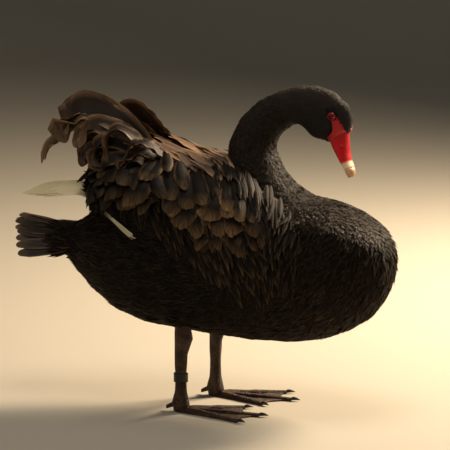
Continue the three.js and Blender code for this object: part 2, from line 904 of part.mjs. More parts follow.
for (const [name, side] of [
  ["right", -1],
  ["left", 1],
]) {
  const curls = curlForms(CURLS[name], side).all;
  const wing = join([wingCore(side, 0), ...wingFeathers(side)])
    .subtract(torsoForm(GAP))
    .subtract(neckLowerForm(GAP))
    .subtract(neckMiddleForm(GAP));
  const clear = join([wingCore(side, GAP), ...wingFeathers(side, GAP)]);
  put("wing_" + name, wing, looks.feather);
  put(
    "tertials_" + name,
    curls.subtract(clear),
    looks.feather,
  );
  put(
    "primaries_" + name,
    primaryForms(side).subtract(wingCore(side, GAP)).subtract(torsoForm(GAP)),
    looks.white,
  );
  put(
    "secondaries_" + name,
    secondaryForms(side).subtract(clear).subtract(torsoForm(GAP)),
    looks.white,
  );

  const leg = legs[name];
  put(
    "thigh_" + name,
    ovalForm(shifted(THIGH, leg.shift), leg.y, 0).subtract(
      ovalForm(shifted(SHANK, leg.shift), leg.y, GAP),
    ),
    looks.feather,
  );
  put("leg_" + name, ovalForm(shifted(SHANK, leg.shift), leg.y, 0), looks.leg);
  let foot = footForm(leg).subtract(
    ovalForm(shifted(SHANK, leg.shift), leg.y, GAP),
  );
  TOES.forEach((toe, k) => {
    const [root, end] = toeEnds(leg, toe);
    const along = end.clone().sub(root).normalize();
    foot = foot.subtract(clawForm(end, along, GAP));
    put(
      "claw_" + name + "_" + ["outer", "middle", "inner"][k],
      clawForm(end, along, 0),
      looks.claw,
    );
  });
  put("foot_" + name, foot, looks.leg);
}

// Leg ring on the right leg, a plain band with the leg standing inside it.
const bandOuter = ovalForm(
  [
    [-20, RING.z + RING.height / 2, RING.inner[0] + RING.wall, RING.inner[1] + RING.wall],
    [-20, RING.z - RING.height / 2, RING.inner[0] + RING.wall, RING.inner[1] + RING.wall],
  ],
  LEG_RIGHT.y,
  0,
  20,
);
const bandHole = ovalForm(
  [
    [-20, RING.z + RING.height, ...RING.inner],
    [-20, RING.z - RING.height, ...RING.inner],
  ],
  LEG_RIGHT.y,
  0,
  20,
);
put("leg_ring", bandOuter.subtract(bandHole), looks.ring);

// ---- The scene ----
const swan = new THREE.Group();
swan.name = "black_swan";
for (const [name, { made, look }] of Object.entries(pieces)) {
  const { vertProperties, triVerts } = made.getMesh();
  const geometry = new THREE.BufferGeometry();
  geometry.setAttribute(
    "position",
    new THREE.BufferAttribute(vertProperties, 3),
  );
  geometry.setIndex(new THREE.BufferAttribute(triVerts, 1));
  geometry.computeVertexNormals();
  const mesh = new THREE.Mesh(geometry, look);
  mesh.name = name;
  swan.add(mesh);
}
swan.position.set(...ORIGIN_SHIFT);
export default swan;
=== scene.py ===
import math

import bpy
import numpy as np
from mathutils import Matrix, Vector
from mathutils.kdtree import KDTree


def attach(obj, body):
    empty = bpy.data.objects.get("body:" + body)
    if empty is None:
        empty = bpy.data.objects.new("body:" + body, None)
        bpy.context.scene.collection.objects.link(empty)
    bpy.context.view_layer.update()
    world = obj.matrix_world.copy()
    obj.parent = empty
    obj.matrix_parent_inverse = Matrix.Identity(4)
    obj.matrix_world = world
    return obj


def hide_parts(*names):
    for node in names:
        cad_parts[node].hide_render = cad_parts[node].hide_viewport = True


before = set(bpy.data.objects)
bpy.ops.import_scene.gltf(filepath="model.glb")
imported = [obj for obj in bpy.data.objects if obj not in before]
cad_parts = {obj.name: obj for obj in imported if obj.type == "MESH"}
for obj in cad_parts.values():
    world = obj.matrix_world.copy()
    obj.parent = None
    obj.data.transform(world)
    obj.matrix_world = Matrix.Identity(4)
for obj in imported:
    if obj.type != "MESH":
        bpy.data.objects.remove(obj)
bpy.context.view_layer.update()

# Flesh. Torso, neck, head, thighs, folded wing arms and the root of the tail are one soft
# form with no seams, cast a little inside the outline, so that the plumage laid over it
# comes out at the bird's true size.
ORIGIN = np.array([4.5, 0.0, 0.0])  # mm, from the bird's own tables to the model's origin
FLESH_NODES = ["torso", "neck_lower", "neck_middle", "neck_upper", "head"]
FLESH_NODES += ["thigh_right", "thigh_left"]

# Wing outer face from wrist to rear: ridge x y z, lower edge x y z, bulge, its height
WING = np.array([
    [226, -72, 262, 226, -86, 232, 10, 0.5],
    [190, -74, 296, 180, -98, 206, 26, 0.5],
    [140, -66, 336, 122, -106, 196, 34, 0.55],
    [82, -58, 379, 52, -104, 200, 40, 0.6],
    [22, -52, 394, 0, -98, 224, 42, 0.62],
    [-45, -46, 414, -60, -88, 282, 38, 0.6],
    [-112, -40, 408, -118, -76, 318, 24, 0.55],
    [-168, -32, 384, -176, -56, 336, 10, 0.5],
], float)
CONTROL_OUT = 1.5  # how far the curve's control stands out, in bulges of its row
CONTROL_UP = 0.15  # and how far it lies above the bulge, as a share of the height


def wing_face(s, t):
    """Points on the wing's outer face: s from wrist to rear, t from ridge to lower edge."""
    at = np.clip(s, 0, 1) * (len(WING) - 1)
    i = np.minimum(at.astype(int), len(WING) - 2)
    part = (at - i)[..., None]
    row = WING[i] * (1 - part) + WING[i + 1] * part
    ridge = row[..., 0:3]
    low = row[..., 3:6]
    middle = (ridge + low) / 2
    middle[..., 1] -= row[..., 6] * CONTROL_OUT
    middle[..., 2] = low[..., 2] + (ridge[..., 2] - low[..., 2]) * (row[..., 7] + CONTROL_UP)
    u = (1 - t)[..., None]
    v = t[..., None]
    return ridge * u * u + middle * 2 * u * v + low * v * v + ORIGIN


def unit(v):
    """Vectors brought to length 1."""
    return v / np.maximum(np.linalg.norm(v, axis=-1, keepdims=True), 1e-9)


def wing_frame(s, t, side):
    """Point, direction down the wing, direction to the rear and outward direction."""
    s, t = np.broadcast_arrays(np.asarray(s, float), np.asarray(t, float))
    p = wing_face(s, t)
    down = unit(wing_face(s, t + 0.03) - wing_face(s, t - 0.03))
    rear = unit(wing_face(s + 0.03, t) - wing_face(s - 0.03, t))
    out = unit(np.cross(rear, down))
    out = out * np.where(out[..., 1:2] > 0, -1, 1)
    flip = np.array([1.0, -1.0, 1.0]) if side > 0 else np.ones(3)
    return p * flip, down * flip, rear * flip, out * flip


TAIL_START = -172  # mm along X, where the tail leaves the rump
TAIL_LONG = 144
TAIL_FLESH_END = -262


def tail_point(f, x, lift):
    """f from -1 at the right edge of the tail to 1 at its left edge."""
    far = (TAIL_START - x) / TAIL_LONG
    return np.stack([
        x + 24 * far * f * f + 0 * f,
        f * (26 + 44 * far),
        266 + 25 * far - f * f * (14 + 41 * far) + lift,
    ], -1) + ORIGIN


def link(name, mesh):
    """An object that holds the mesh, in the scene."""
    made = bpy.data.objects.new(name, mesh)
    bpy.context.scene.collection.objects.link(made)
    return made


def raw_mesh(name, points, faces):
    """A mesh from points in mm."""
    mesh = bpy.data.meshes.new(name)
    mesh.from_pydata([tuple(p) for p in np.asarray(points) / 1000], [], faces)
    mesh.validate()
    return mesh


def shade_smooth(mesh):
    """Faces shaded as one round form."""
    for face in mesh.polygons:
        face.use_smooth = True


def ring_faces(rings, count, start):
    """Faces of a closed loft of rings, with a cap on each end."""
    faces = []
    for r in range(rings - 1):
        for k in range(count):
            a = start + r * count + k
            b = start + r * count + (k + 1) % count
            faces.append((a, b, b + count, a + count))
    faces.append(tuple(range(start + count - 1, start - 1, -1)))
    last = start + (rings - 1) * count
    faces.append(tuple(range(last, last + count)))
    return faces


def worked(name, node_names, grain, smooth, sink=0.0, extra=()):
    """One even, smoothed surface over the named solids and any extra closed lofts."""
    points = []
    faces = []
    for node in node_names:
        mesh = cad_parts[node].data
        start = len(points)
        points += [tuple(v.co * 1000) for v in mesh.vertices]
        faces += [tuple(start + i for i in f.vertices) for f in mesh.polygons]
    for rings in extra:
        start = len(points)
        points += [tuple(p) for ring in rings for p in ring]
        faces += ring_faces(len(rings), len(rings[0]), start)
    form = link(name + "_form", raw_mesh(name + "_form", points, faces))
    remesh = form.modifiers.new("grain", "REMESH")
    remesh.mode = "VOXEL"
    remesh.voxel_size = grain / 1000
    soften = form.modifiers.new("soften", "SMOOTH")
    soften.factor = 0.5
    soften.iterations = smooth
    if sink:
        inset = form.modifiers.new("inset", "DISPLACE")
        inset.strength = -sink / 1000
        inset.mid_level = 0
    graph = bpy.context.evaluated_depsgraph_get()
    mesh = bpy.data.meshes.new_from_object(form.evaluated_get(graph))
    bpy.data.objects.remove(form)
    shade_smooth(mesh)
    return link(name, mesh)


def wing_arm(side):
    """Rings of the folded arm: the wing's outer face, and a thinner face inside it."""
    across = np.linspace(0, 1, 9)
    rings = []
    for s in np.linspace(0, 1, 15):
        p, _, _, out = wing_frame(s, across, side)
        depth = (5 + 16 * np.sin(np.pi * across))[:, None]
        ring = np.concatenate([p, (p - out * depth)[::-1]])
        rings.append(ring if side < 0 else ring[::-1])
    return rings


tail_root = []
for x, thick in [(TAIL_START, 34), (-205, 24), (-240, 12), (TAIL_FLESH_END, 5)]:
    f = np.linspace(-1.02, 1.02, 9)
    above = tail_point(f, x, thick / 2)
    below = tail_point(f, x, -thick / 2)
    tail_root.append(np.concatenate([above, below[::-1]]))

skin = worked("swan_skin", FLESH_NODES, grain=2.75, smooth=5, sink=0.9,
              extra=[wing_arm(-1), wing_arm(1), tail_root])


def tint(code):
    """sRGB hex to linear."""
    parts = [int(code[i:i + 2], 16) / 255 for i in (1, 3, 5)]
    lin = [c / 12.92 if c <= 0.04045 else ((c + 0.055) / 1.055) ** 2.4 for c in parts]
    return (*lin, 1.0)


def add(tree, kind, links=(), **settings):
    """A node with its settings; links are (socket, value) or (socket, node, output)."""
    node = tree.nodes.new(kind)
    for key, value in settings.items():
        setattr(node, key, value)
    for item in links:
        if len(item) == 2:
            node.inputs[item[0]].default_value = item[1]
        else:
            tree.links.new(item[1].outputs[item[2]], node.inputs[item[0]])
    return node


def finish_of(name):
    """A new material, its tree and its shader."""
    made = bpy.data.materials.new(name)
    made.use_nodes = True
    tree = made.node_tree
    return made, tree, tree.nodes["Principled BSDF"]


def feed(tree, shader, colour, values, relief=None):
    """Gives the shader its colour, its other values and its relief."""
    tree.links.new(colour, shader.inputs["Base Color"])
    for key, value in values.items():
        shader.inputs[key].default_value = value
    if relief:
        tree.links.new(relief.outputs["Normal"], shader.inputs["Normal"])


def set_ramp(node, stops):
    """Stops are (place, colour) from low to high."""
    ramp = node.color_ramp
    while len(ramp.elements) > len(stops):
        ramp.elements.remove(ramp.elements[-1])
    while len(ramp.elements) < len(stops):
        ramp.elements.new(1.0)
    for element, (at, colour) in zip(ramp.elements, stops):
        element.position = at
        element.color = colour


# Dark down over the skin: matt and near black brown, so that gaps between feathers read
# as depth. Its felt has 330 grains over the body's 610 mm, so each is about 2 mm across.
down_skin, tree, shader = finish_of("down_covered_skin")
felt = add(tree, "ShaderNodeTexNoise", [("Scale", 330.0), ("Detail", 3.0)])
tone = add(tree, "ShaderNodeValToRGB", [("Fac", felt, "Fac")])
set_ramp(tone, [(0.35, tint("#080606")), (0.7, tint("#120e0c"))])
ruff = add(tree, "ShaderNodeBump", [("Strength", 0.6), ("Distance", 0.001),
                                    ("Height", felt, "Fac")])
feed(tree, shader, tone.outputs["Color"], {"Roughness": 0.85}, ruff)
skin.data.materials.append(down_skin)
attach(skin, "root")
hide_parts(*FLESH_NODES, "wing_right", "wing_left", "tail")

# Lie of the plumage. Contour feathers point from the bill back over the head, down the
# neck and aft along the body. The lie follows the bird's middle line, from the tail root
# to the bill.
MIDDLE_LINE = np.array([
    [TAIL_FLESH_END, 0, 268], [-170, 0, 252], [-60, 0, 238], [60, 0, 234], [130, 0, 242],
    [158, 0, 270], [136, 0, 300], [106, 0, 336], [87, 0, 368], [79, 0, 410],
    [88, 0, 444], [110, 0, 468], [138, 0, 482], [170, -1, 484], [196, -8, 475],
    [210, -15, 463], [219, -18, 448], [228, -21, 428],
], float) + ORIGIN
line_step = np.linalg.norm(np.diff(MIDDLE_LINE, axis=0), axis=1)
line_run = np.concatenate([[0], np.cumsum(line_step)])
fine_run = np.linspace(0, line_run[-1], 160)
fine_line = np.stack([np.interp(fine_run, line_run, MIDDLE_LINE[:, k]) for k in range(3)], 1)
fine_dir = unit(np.gradient(fine_line, axis=0))
TAIL_END = 40  # mm along the line, where the tail's own feathers end and the body's start
NECK_START = 462
HEAD_START = 690


def along_line(points):
    """Nearest run along the middle line, and its direction blended over near stations."""
    runs = np.empty(len(points))
    dirs = np.empty((len(points), 3))
    for start in range(0, len(points), 4000):
        part = points[start:start + 4000]
        gap = np.linalg.norm(part[:, None] - fine_line[None], axis=2)
        near = gap.min(1, keepdims=True)
        share = np.exp(-((gap - near) / 9.0))
        share /= share.sum(1, keepdims=True)
        runs[start:start + 4000] = share @ fine_run
        dirs[start:start + 4000] = unit(share @ fine_dir)
    return runs, dirs


def skin_place(points):
    """Where a root lies on the body's own unwrap: run along it, and angle round it."""
    runs, dirs = along_line(points)
    centre = np.stack([np.interp(runs, fine_run, fine_line[:, k]) for k in range(3)], 1)
    off = points - centre
    left = np.array([0.0, 1.0, 0.0])
    up = unit(np.cross(dirs, left))
    angle = np.arctan2(off @ left, (off * up).sum(1))
    return np.stack([0.01 + 0.62 * runs / line_run[-1], 0.5 + angle / math.pi * 0.48], 1)


def wing_place(s, t, side):
    """Where a root lies on the unwrap of its own wing, beside the body's."""
    start = 0.82 if side > 0 else 0.65
    return np.stack([start + 0.16 * s, 0.04 + 0.9 * np.clip(t, 0, 1)], 1)


def put_vertex_values(mesh, **values):
    """Named numbers on the mesh's points, for a material to read."""
    for key, data in values.items():
        layer = mesh.attributes.new(key, "FLOAT", "POINT")
        layer.data.foreach_set("value", np.asarray(data, np.float32).ravel())


def grid_mesh(name, points, place, along, across, tone, finish):
    """Many vanes in one mesh. points is (vanes, rows, columns, 3) in mm."""
    many, rows, columns, _ = points.shape
    one = np.arange(rows * columns).reshape(rows, columns)
    quads = np.stack([one[:-1, :-1], one[:-1, 1:], one[1:, 1:], one[1:, :-1]], -1)
    quads = quads.reshape(-1, 4)
    faces = (quads[None] + (np.arange(many) * rows * columns)[:, None, None]).reshape(-1, 4)
    mesh = bpy.data.meshes.new(name)
    mesh.vertices.add(many * rows * columns)
    mesh.vertices.foreach_set("co", (points.reshape(-1, 3) / 1000).astype(np.float32).ravel())
    mesh.loops.add(faces.size)
    mesh.loops.foreach_set("vertex_index", faces.astype(np.int32).ravel())
    mesh.polygons.add(len(faces))
    mesh.polygons.foreach_set("loop_start", np.arange(0, faces.size, 4, dtype=np.int32))
    mesh.polygons.foreach_set("use_smooth", np.ones(len(faces), bool))
    mesh.update(calc_edges=True)
    shape = (many, rows, columns)
    put_vertex_values(
        mesh,
        along=np.broadcast_to(along, shape),
        across=np.broadcast_to(across, shape),
        tone=np.broadcast_to(tone.reshape(-1, 1, 1), shape),
    )
    patch = np.stack([np.broadcast_to(across, shape), np.broadcast_to(along * 2 - 1, shape)], -1)
    uv = (place[:, None, None] + patch * 0.0015).reshape(-1, 2)[faces.ravel()]
    layer = mesh.uv_layers.new(name="OFBake")
    layer.data.foreach_set("uv", uv.astype(np.float32).ravel())
    mesh.materials.append(finish)
    return link(name, mesh)


def vane_grid(rows, columns):
    """Place on a vane: t from its root to its tip, and a from edge to edge, -1 to 1."""
    return np.linspace(0, 1, rows)[None, :, None], np.linspace(-1, 1, columns)[None, None, :]


def contour_vanes(rng, root, lie, out, long, wide, rows, columns, profile, rise=0.12,
                  curl=0.0, camber=0.25, sway=0.1, frill=0.0, point=0.2, sink=1.0,
                  tilt=0.12):
    """Rows of points of each vane: it leaves the skin, rises, and bends back at the tip."""
    many = len(root)
    t, a = vane_grid(rows, columns)
    half = np.interp(t, np.linspace(0, 1, len(profile)), profile) * (wide / 2)[:, None, None]
    side = unit(np.cross(out, lie))
    length = long[:, None, None]
    push = t * (1 - point * a * a)
    push = push + frill * rng.uniform(-1, 0.4, (many, rows, columns)) * t ** 3
    drift = sway * rng.normal(0, 1, (many, 1, 1)) * t * t * length
    lift = length * (rise * t - curl * t ** 3) - sink * (1 - t)
    lift = lift - camber * half * a * a
    lift = lift + a * rng.normal(0, tilt, (many, 1, 1)) * half
    return (root[:, None, None] + lie[:, None, None] * (push * length)[..., None]
            + side[:, None, None] * (half * a + drift)[..., None]
            + out[:, None, None] * lift[..., None]), t, a


# Head axes: forward along the bill, up to the crown, out to a side
yaw = math.radians(19)
pitch_down = math.radians(65)
heading = np.array([math.cos(yaw), -math.sin(yaw), 0.0])
head_left = np.array([math.sin(yaw), math.cos(yaw), 0.0])
bill_axis = heading * math.cos(pitch_down) + np.array([0, 0, -math.sin(pitch_down)])
head_up = heading * math.sin(pitch_down) + np.array([0, 0, math.cos(pitch_down)])
bill_base = np.array([241.0, -25.2, 454.5]) + ORIGIN


def head_point(forward, up, out, side=1):
    """A point in mm from its place in the head's own axes."""
    return bill_base + bill_axis * forward + head_up * up + head_left * (out * side)


def head_place(points):
    """The place of points in the head's own axes."""
    rel = points - bill_base
    return rel @ bill_axis, rel @ head_up, rel @ head_left


# Bare skin's outline on the side of the face: forward, up
LORE = np.array([[-22, -0.5], [-15, 1], [-8, 0.5], [2, -1], [6, -32], [-1, -31],
                 [-4, -17.5], [-11, -12.5], [-21, -10.5]], float)


def inside_outline(x, y, outline):
    """Even-odd test of places against a closed outline."""
    inside = np.zeros(len(x), bool)
    for (x0, y0), (x1, y1) in zip(outline, np.roll(outline, -1, 0)):
        crosses = (y0 > y) != (y1 > y)
        at = (x1 - x0) * (y - y0) / (y1 - y0 + 1e-12) + x0
        inside ^= crosses & (x < at)
    return inside


# Points on the wings' outer faces, to tell how far a place on the skin is from a wing
dots_s, dots_t = np.meshgrid(np.linspace(0, 1, 70), np.linspace(0, 1, 34))
dots = np.concatenate([wing_frame(dots_s.ravel(), dots_t.ravel(), k)[0] for k in (-1, 1)])
wing_tree = KDTree(len(dots))
for i, dot in enumerate(dots):
    wing_tree.insert(dot, i)
wing_tree.balance()


def rows_of(items, key, wide=3):
    """One property of every vertex or face of a mesh, a row to each."""
    data = np.empty(len(items) * wide)
    items.foreach_get(key, data)
    return data.reshape(-1, wide)


def set_form(mesh, co):
    """Moves the mesh's points to co, in mm."""
    mesh.vertices.foreach_set("co", (co / 1000).astype(np.float32).ravel())
    mesh.update()


# The skin's own form: facets of body and neck are rounded off, and the brow and chin
# stand out by a few millimetres, as they do under their feathers.
skin_mesh = skin.data
skin_points = len(skin_mesh.vertices)
co = rows_of(skin_mesh.vertices, "co") * 1000
normal = rows_of(skin_mesh.vertices, "normal")
pairs = np.empty(len(skin_mesh.edges) * 2, np.int32)
skin_mesh.edges.foreach_get("vertices", pairs)
pairs = pairs.reshape(-1, 2)
ends = np.concatenate([pairs[:, 0], pairs[:, 1]])
others = np.concatenate([pairs[:, 1], pairs[:, 0]])
near_count = np.bincount(ends, minlength=skin_points)[:, None]
# the wing arms, the tail's root and the upper parts keep more of their form
off_wing = np.clip((np.array([wing_tree.find(c)[2] for c in co]) - 5) / 18, 0, 1)
ease = off_wing * np.clip((co[:, 0] + 205) / 40, 0, 1)
ease *= np.interp(co[:, 2], [300, 380], [1.0, 0.25])
ease = ease[:, None]
for _ in range(70):
    total = np.stack([np.bincount(ends, co[others, k], skin_points) for k in range(3)], 1)
    co += 0.5 * ease * (total / near_count - co)
forward, up, left = head_place(co)
brow = np.exp(-((forward + 20) / 18) ** 2 - ((up - 6) / 13) ** 2 - (left / 15) ** 2)
chin = np.exp(-((forward + 12) / 16) ** 2 - ((up + 44) / 12) ** 2 - (left / 20) ** 2)
swell = 5.8 * brow + 6.5 * chin + 1.6 * ease[:, 0]
co += normal * swell[:, None]
set_form(skin_mesh, co)

# Roots are spread over the skin at the pitch of each tract.
centres = rows_of(skin_mesh.polygons, "center") * 1000
normals = rows_of(skin_mesh.polygons, "normal")
areas = rows_of(skin_mesh.polygons, "area", 1)[:, 0] * 1e6


def spread(rng, pitch, keep):
    """Roots about pitch mm apart where keep holds, with the skin's normal there."""
    chosen = np.flatnonzero(keep)
    weight = areas[chosen] / areas[chosen].sum()
    amount = int(areas[chosen].sum() / pitch ** 2 * 4)
    pick = rng.choice(chosen, amount, p=weight)
    loose = rng.uniform(-1.6, 1.6, (amount, 3))
    out = normals[pick]
    loose -= out * (loose * out).sum(1, keepdims=True)
    root = centres[pick] + loose
    # one root stays in each cell of a grid, whose index is made a single number
    cell = np.floor(root / pitch).astype(np.int64)
    key = cell[:, 0] * 1000003 + cell[:, 1] * 10007 + cell[:, 2]
    _, first = np.unique(key, return_index=True)
    return root[first], unit(out[first])


def settle(lie, out):
    """The lie, turned to run along the skin."""
    return unit(lie - out * (lie * out).sum(1, keepdims=True))


LORE_SHARE = 0.82  # feathers reach over the rim of the bare skin by the rest
EYE_PLACE = (-27, -6.3)  # forward, up
EYE_HOLE = 6.0  # mm


def face_clear(points):
    """Places on the head that carry feathers, clear of eyes, bare skin and bill."""
    forward, up, left = head_place(points)
    middle = LORE.mean(0)
    bare = inside_outline(forward, up, middle + (LORE - middle) * LORE_SHARE) & (abs(left) > 7)
    eye = (forward - EYE_PLACE[0]) ** 2 + (up - EYE_PLACE[1]) ** 2 < EYE_HOLE ** 2
    eye &= abs(left) > 9
    bill = forward > -1 + 8 * (abs(left) < 3.5) * (up > -12)
    return ~(bare | eye | bill)


run_all, _ = along_line(centres)
on_wing = np.array([wing_tree.find(c)[2] for c in centres]) < 3.0
clear_face = face_clear(centres)


BARB_LOCKS = (26.0, 1.5, 60.0)  # to a vane's length, to half its width, and from vane to vane


def barb_finish(name, dark, body, edge, tip, edge_from=0.55, rough=0.6, sheen=0.1,
                streak=0.5, gloss=0.3):
    """Keratin vane: dark along the shaft, paler at the fringe, with fine barb streaks.

    Real barbs lie under half a millimetre apart, too fine for the render. They are drawn in
    locks, 26 to a vane: about 1 mm on a body feather and 3 mm on a broad scapular.
    """
    made, tree, shader = finish_of(name)
    along = add(tree, "ShaderNodeAttribute", attribute_name="along")
    across = add(tree, "ShaderNodeAttribute", attribute_name="across")
    tone = add(tree, "ShaderNodeAttribute", attribute_name="tone")
    wide = add(tree, "ShaderNodeMath", [(0, across, "Fac")], operation="ABSOLUTE")
    # barbs run out and forward from the shaft: streaks follow along less half of across
    slant = add(tree, "ShaderNodeMath", [(0, wide, 0), (1, -0.45), (2, along, "Fac")],
                operation="MULTIPLY_ADD")
    where = add(tree, "ShaderNodeCombineXYZ", [("X", slant, 0), ("Y", across, "Fac"),
                                               ("Z", tone, "Fac")])
    scaled = add(tree, "ShaderNodeVectorMath", [(0, where, 0), (1, BARB_LOCKS)],
                 operation="MULTIPLY")
    barbs = add(tree, "ShaderNodeTexNoise", [("Vector", scaled, 0), ("Scale", 1.0),
                                             ("Detail", 2.0)])
    fringe = add(tree, "ShaderNodeMapRange", [("Value", wide, 0), ("From Min", edge_from),
                                              ("From Max", 1.0)])
    end = add(tree, "ShaderNodeMapRange", [("Value", along, "Fac"), ("From Min", 0.72),
                                           ("From Max", 1.0), ("To Max", 0.8)])
    both = add(tree, "ShaderNodeMath", [(0, fringe, 0), (1, end, 0)], operation="MAXIMUM")
    broken = add(tree, "ShaderNodeMath", [(0, barbs, "Fac"), (1, 2 * streak), (2, 0.5 - streak)],
                 operation="MULTIPLY_ADD")
    pale = add(tree, "ShaderNodeMath", [(0, both, 0), (1, broken, 0)], operation="MULTIPLY",
               use_clamp=True)
    ground = add(tree, "ShaderNodeMix", [(0, tone, "Fac"), (6, tint(dark)), (7, tint(body))],
                 data_type="RGBA")
    rim = add(tree, "ShaderNodeMix", [(0, tone, "Fac"), (6, tint(edge)), (7, tint(tip))],
              data_type="RGBA")
    colour = add(tree, "ShaderNodeMix", [(0, pale, 0), (6, ground, 2), (7, rim, 2)],
                 data_type="RGBA")
    relief = add(tree, "ShaderNodeBump", [("Strength", 0.7), ("Distance", 0.0012),
                                          ("Height", barbs, "Fac")])
    feed(tree, shader, colour.outputs[2], {
        "Roughness": rough, "Specular IOR Level": gloss, "Sheen Weight": sheen,
        "Sheen Roughness": 0.4, "Sheen Tint": tint("#a8805c"),
    }, relief)
    return made


WIDE_FROM = 108  # mm from the middle: feathers beyond it are drawn in
WIDE_SPARE = 24  # and reach no further than this past it


def coat(name, points, place, t, a, tone, finish):
    """A tract of vanes as one piece; those at the widest part of the wings lie closer in."""
    wide = points[..., 1]
    over = np.maximum(np.abs(wide) - WIDE_FROM, 0)
    drawn_in = np.minimum(np.abs(wide), WIDE_FROM) + WIDE_SPARE * np.tanh(over / WIDE_SPARE)
    points[..., 1] = np.sign(wide) * drawn_in
    piece = grid_mesh(name, points, place, t, a, tone, finish)
    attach(piece, "root")
    return piece


# Head and neck plumage. Short velvet feathers, 3 mm long on the face and 13 mm at the
# neck's base, black with a brown bloom. On the neck they part into small wavy tufts that
# catch the light singly.

# Velvet barbs, matt black with a faint brown bloom: the head reads as one soft dark form
velvet = barb_finish("velvet_head_feather", "#0c0908", "#1b1411", "#33271f", "#57442f",
                     rough=0.62, sheen=0.08)
rng = np.random.default_rng(11)
root, out = spread(rng, 2.0, (run_all > HEAD_START) & clear_face)
f, u, _ = head_place(root)
root += out * 1.7 * inside_outline(f, u, LORE)[:, None]
_, ahead = along_line(root)
lie = settle(-ahead + 0.12 * rng.normal(0, 1, root.shape), out)
long = rng.uniform(4.5, 7.0, len(root))
face_near = np.clip((head_place(root)[0] + 45) / 45, 0, 1)
long *= 1 - 0.45 * face_near
points, t, a = contour_vanes(rng, root, lie, out, long, long * 0.5, 3, 3, [0.5, 1.0, 0.25],
                             rise=0.2, curl=0.08, sway=0.12)
coat("head_plumage", points, skin_place(root), t, a, rng.uniform(0, 1, len(root)), velvet)

# Soft black vanes whose thin worn rims catch the light one by one
neck_finish = barb_finish("wavy_neck_feather", "#070505", "#0f0b09", "#2b211a", "#86694b",
                          rough=0.5, sheen=0.03, edge_from=0.7, gloss=0.2)
for name, low, high, seed in [("neck_plumage_upper", 560, 696, 12),
                              ("neck_plumage_lower", 455, 566, 13)]:
    rng = np.random.default_rng(seed)
    zone = (run_all > low) & (run_all < high) & ~on_wing
    root, out = spread(rng, 2.7, zone)
    runs, ahead = along_line(root)
    wave = np.sin(root[:, 2:3] * 0.55 + rng.normal(0, 0.7, (len(root), 1)))
    turn = np.cross(out, ahead) * wave * 0.35
    lie = settle(-ahead + turn + 0.2 * rng.normal(0, 1, root.shape), out)
    long = np.interp(runs, [455, 560, 696], [13, 9.5, 6.5]) * rng.uniform(0.8, 1.25, len(root))
    points, t, a = contour_vanes(rng, root, lie, out, long, long * 0.42, 4, 3,
                                 [0.4, 1.0, 0.8, 0.2], rise=0.3, curl=0.14, sway=0.22)
    coat(name, points, skin_place(root), t, a, rng.uniform(0, 1, len(root)), neck_finish)

# Body plumage. Soft contour feathers on breast, flanks, back and belly, 18 to 29 mm long,
# with loose hair-like barbs at the tip, so that the breast looks finely streaked along
# its lie.

# Loose matt barbs, black brown with thin brown fringes: a dark ground, finely streaked
body_finish = barb_finish("loose_breast_feather", "#070505", "#100c0a", "#1d1612", "#6b543a",
                          rough=0.6, sheen=0.02, gloss=0.12, edge_from=0.5)
for name, keep, pitch, seed in [
    ("breast_plumage", centres[:, 0] > 120, 4.0, 21),
    ("flank_plumage_right", (centres[:, 0] <= 124) & (centres[:, 1] <= 2), 4.6, 22),
    ("flank_plumage_left", (centres[:, 0] <= 124) & (centres[:, 1] > -2), 4.6, 23),
]:
    rng = np.random.default_rng(seed)
    root, out = spread(rng, pitch, keep & (run_all <= NECK_START) & ~on_wing & (run_all > TAIL_END))
    runs, ahead = along_line(root)
    down = np.array([0, 0, -0.35]) * np.clip((root[:, 0:1] - 60) / 200, 0, 1)
    # soft tracts part into hanging locks two or three centimetres wide
    lock = np.sin(root[:, 0] * 0.19 + 1.7 * np.sin(root[:, 2] * 0.06) + root[:, 1] * 0.05)
    turn = np.cross(out, ahead) * (0.34 * lock)[:, None]
    lie = settle(-ahead * 0.6 + np.array([-0.6, 0, 0]) + down + turn
                 + 0.14 * rng.normal(0, 1, root.shape), out)
    long = rng.uniform(18, 29, len(root))
    points, t, a = contour_vanes(rng, root, lie, out, long, long * 0.22, 5, 3,
                                 [0.5, 1.0, 1.0, 0.75, 0.12], rise=0.13, curl=0.07,
                                 sway=0.1, frill=0.1, tilt=0.3)
    coat(name, points, skin_place(root), t, a, rng.uniform(0, 1, len(root)), body_finish)

# Wing coverts. Each folded wing carries tiers of feathers: soft small ones round the
# bend, narrow pointed coverts that hang over its face, and broad rounded scapulars on the
# shoulder.

# Firm narrow vanes, nearly black, with brown edges broken by barbs: long soft streaks
covert_finish = barb_finish("streaked_wing_covert", "#060504", "#15100c", "#2a2018", "#94775a",
                            edge_from=0.5, rough=0.6, sheen=0.02, streak=0.9, gloss=0.15)
# Broad dark vanes, each set off from the next by a worn, pale fan of barbs at its end. The fan is
# the feathers' own worn fringe; on the scapulars its cream brightness is partly painted light, set
# by the tone.
scapular_finish = barb_finish("broad_scapular", "#070505", "#1c140f", "#2f231a", "#c9a273",
                              edge_from=0.64, rough=0.6, sheen=0.03, streak=0.95, gloss=0.15)
# Smooth warm brown vanes, the palest of the dark feathers, satin along the bird's back. Their pale
# warm brown is painted light: the light from above painted into the top of the wings and back.
painted_light_back_finish = barb_finish("smooth_back_feather_painted_light", "#33251c", "#6f5542", "#6b523e", "#cfa87e",
                           edge_from=0.3, rough=0.5, sheen=0.05, streak=0.6)
SMOOTH_WIDTHS = [0.3, 0.8, 1, 1, 0.85, 0.3]  # from root to tip, as shares of the widest


def wing_vanes(rng, s, t, side, lean, long, wide, **shape):
    """lean turns the vane from straight down the wing towards the front (+) or rear (-)."""
    p, down, _, out = wing_frame(s, t, side)
    front = np.array([1.0, 0, 0])
    lie = settle(down + front * lean[:, None], out)
    return contour_vanes(rng, p, lie, out, long, wide, **shape)


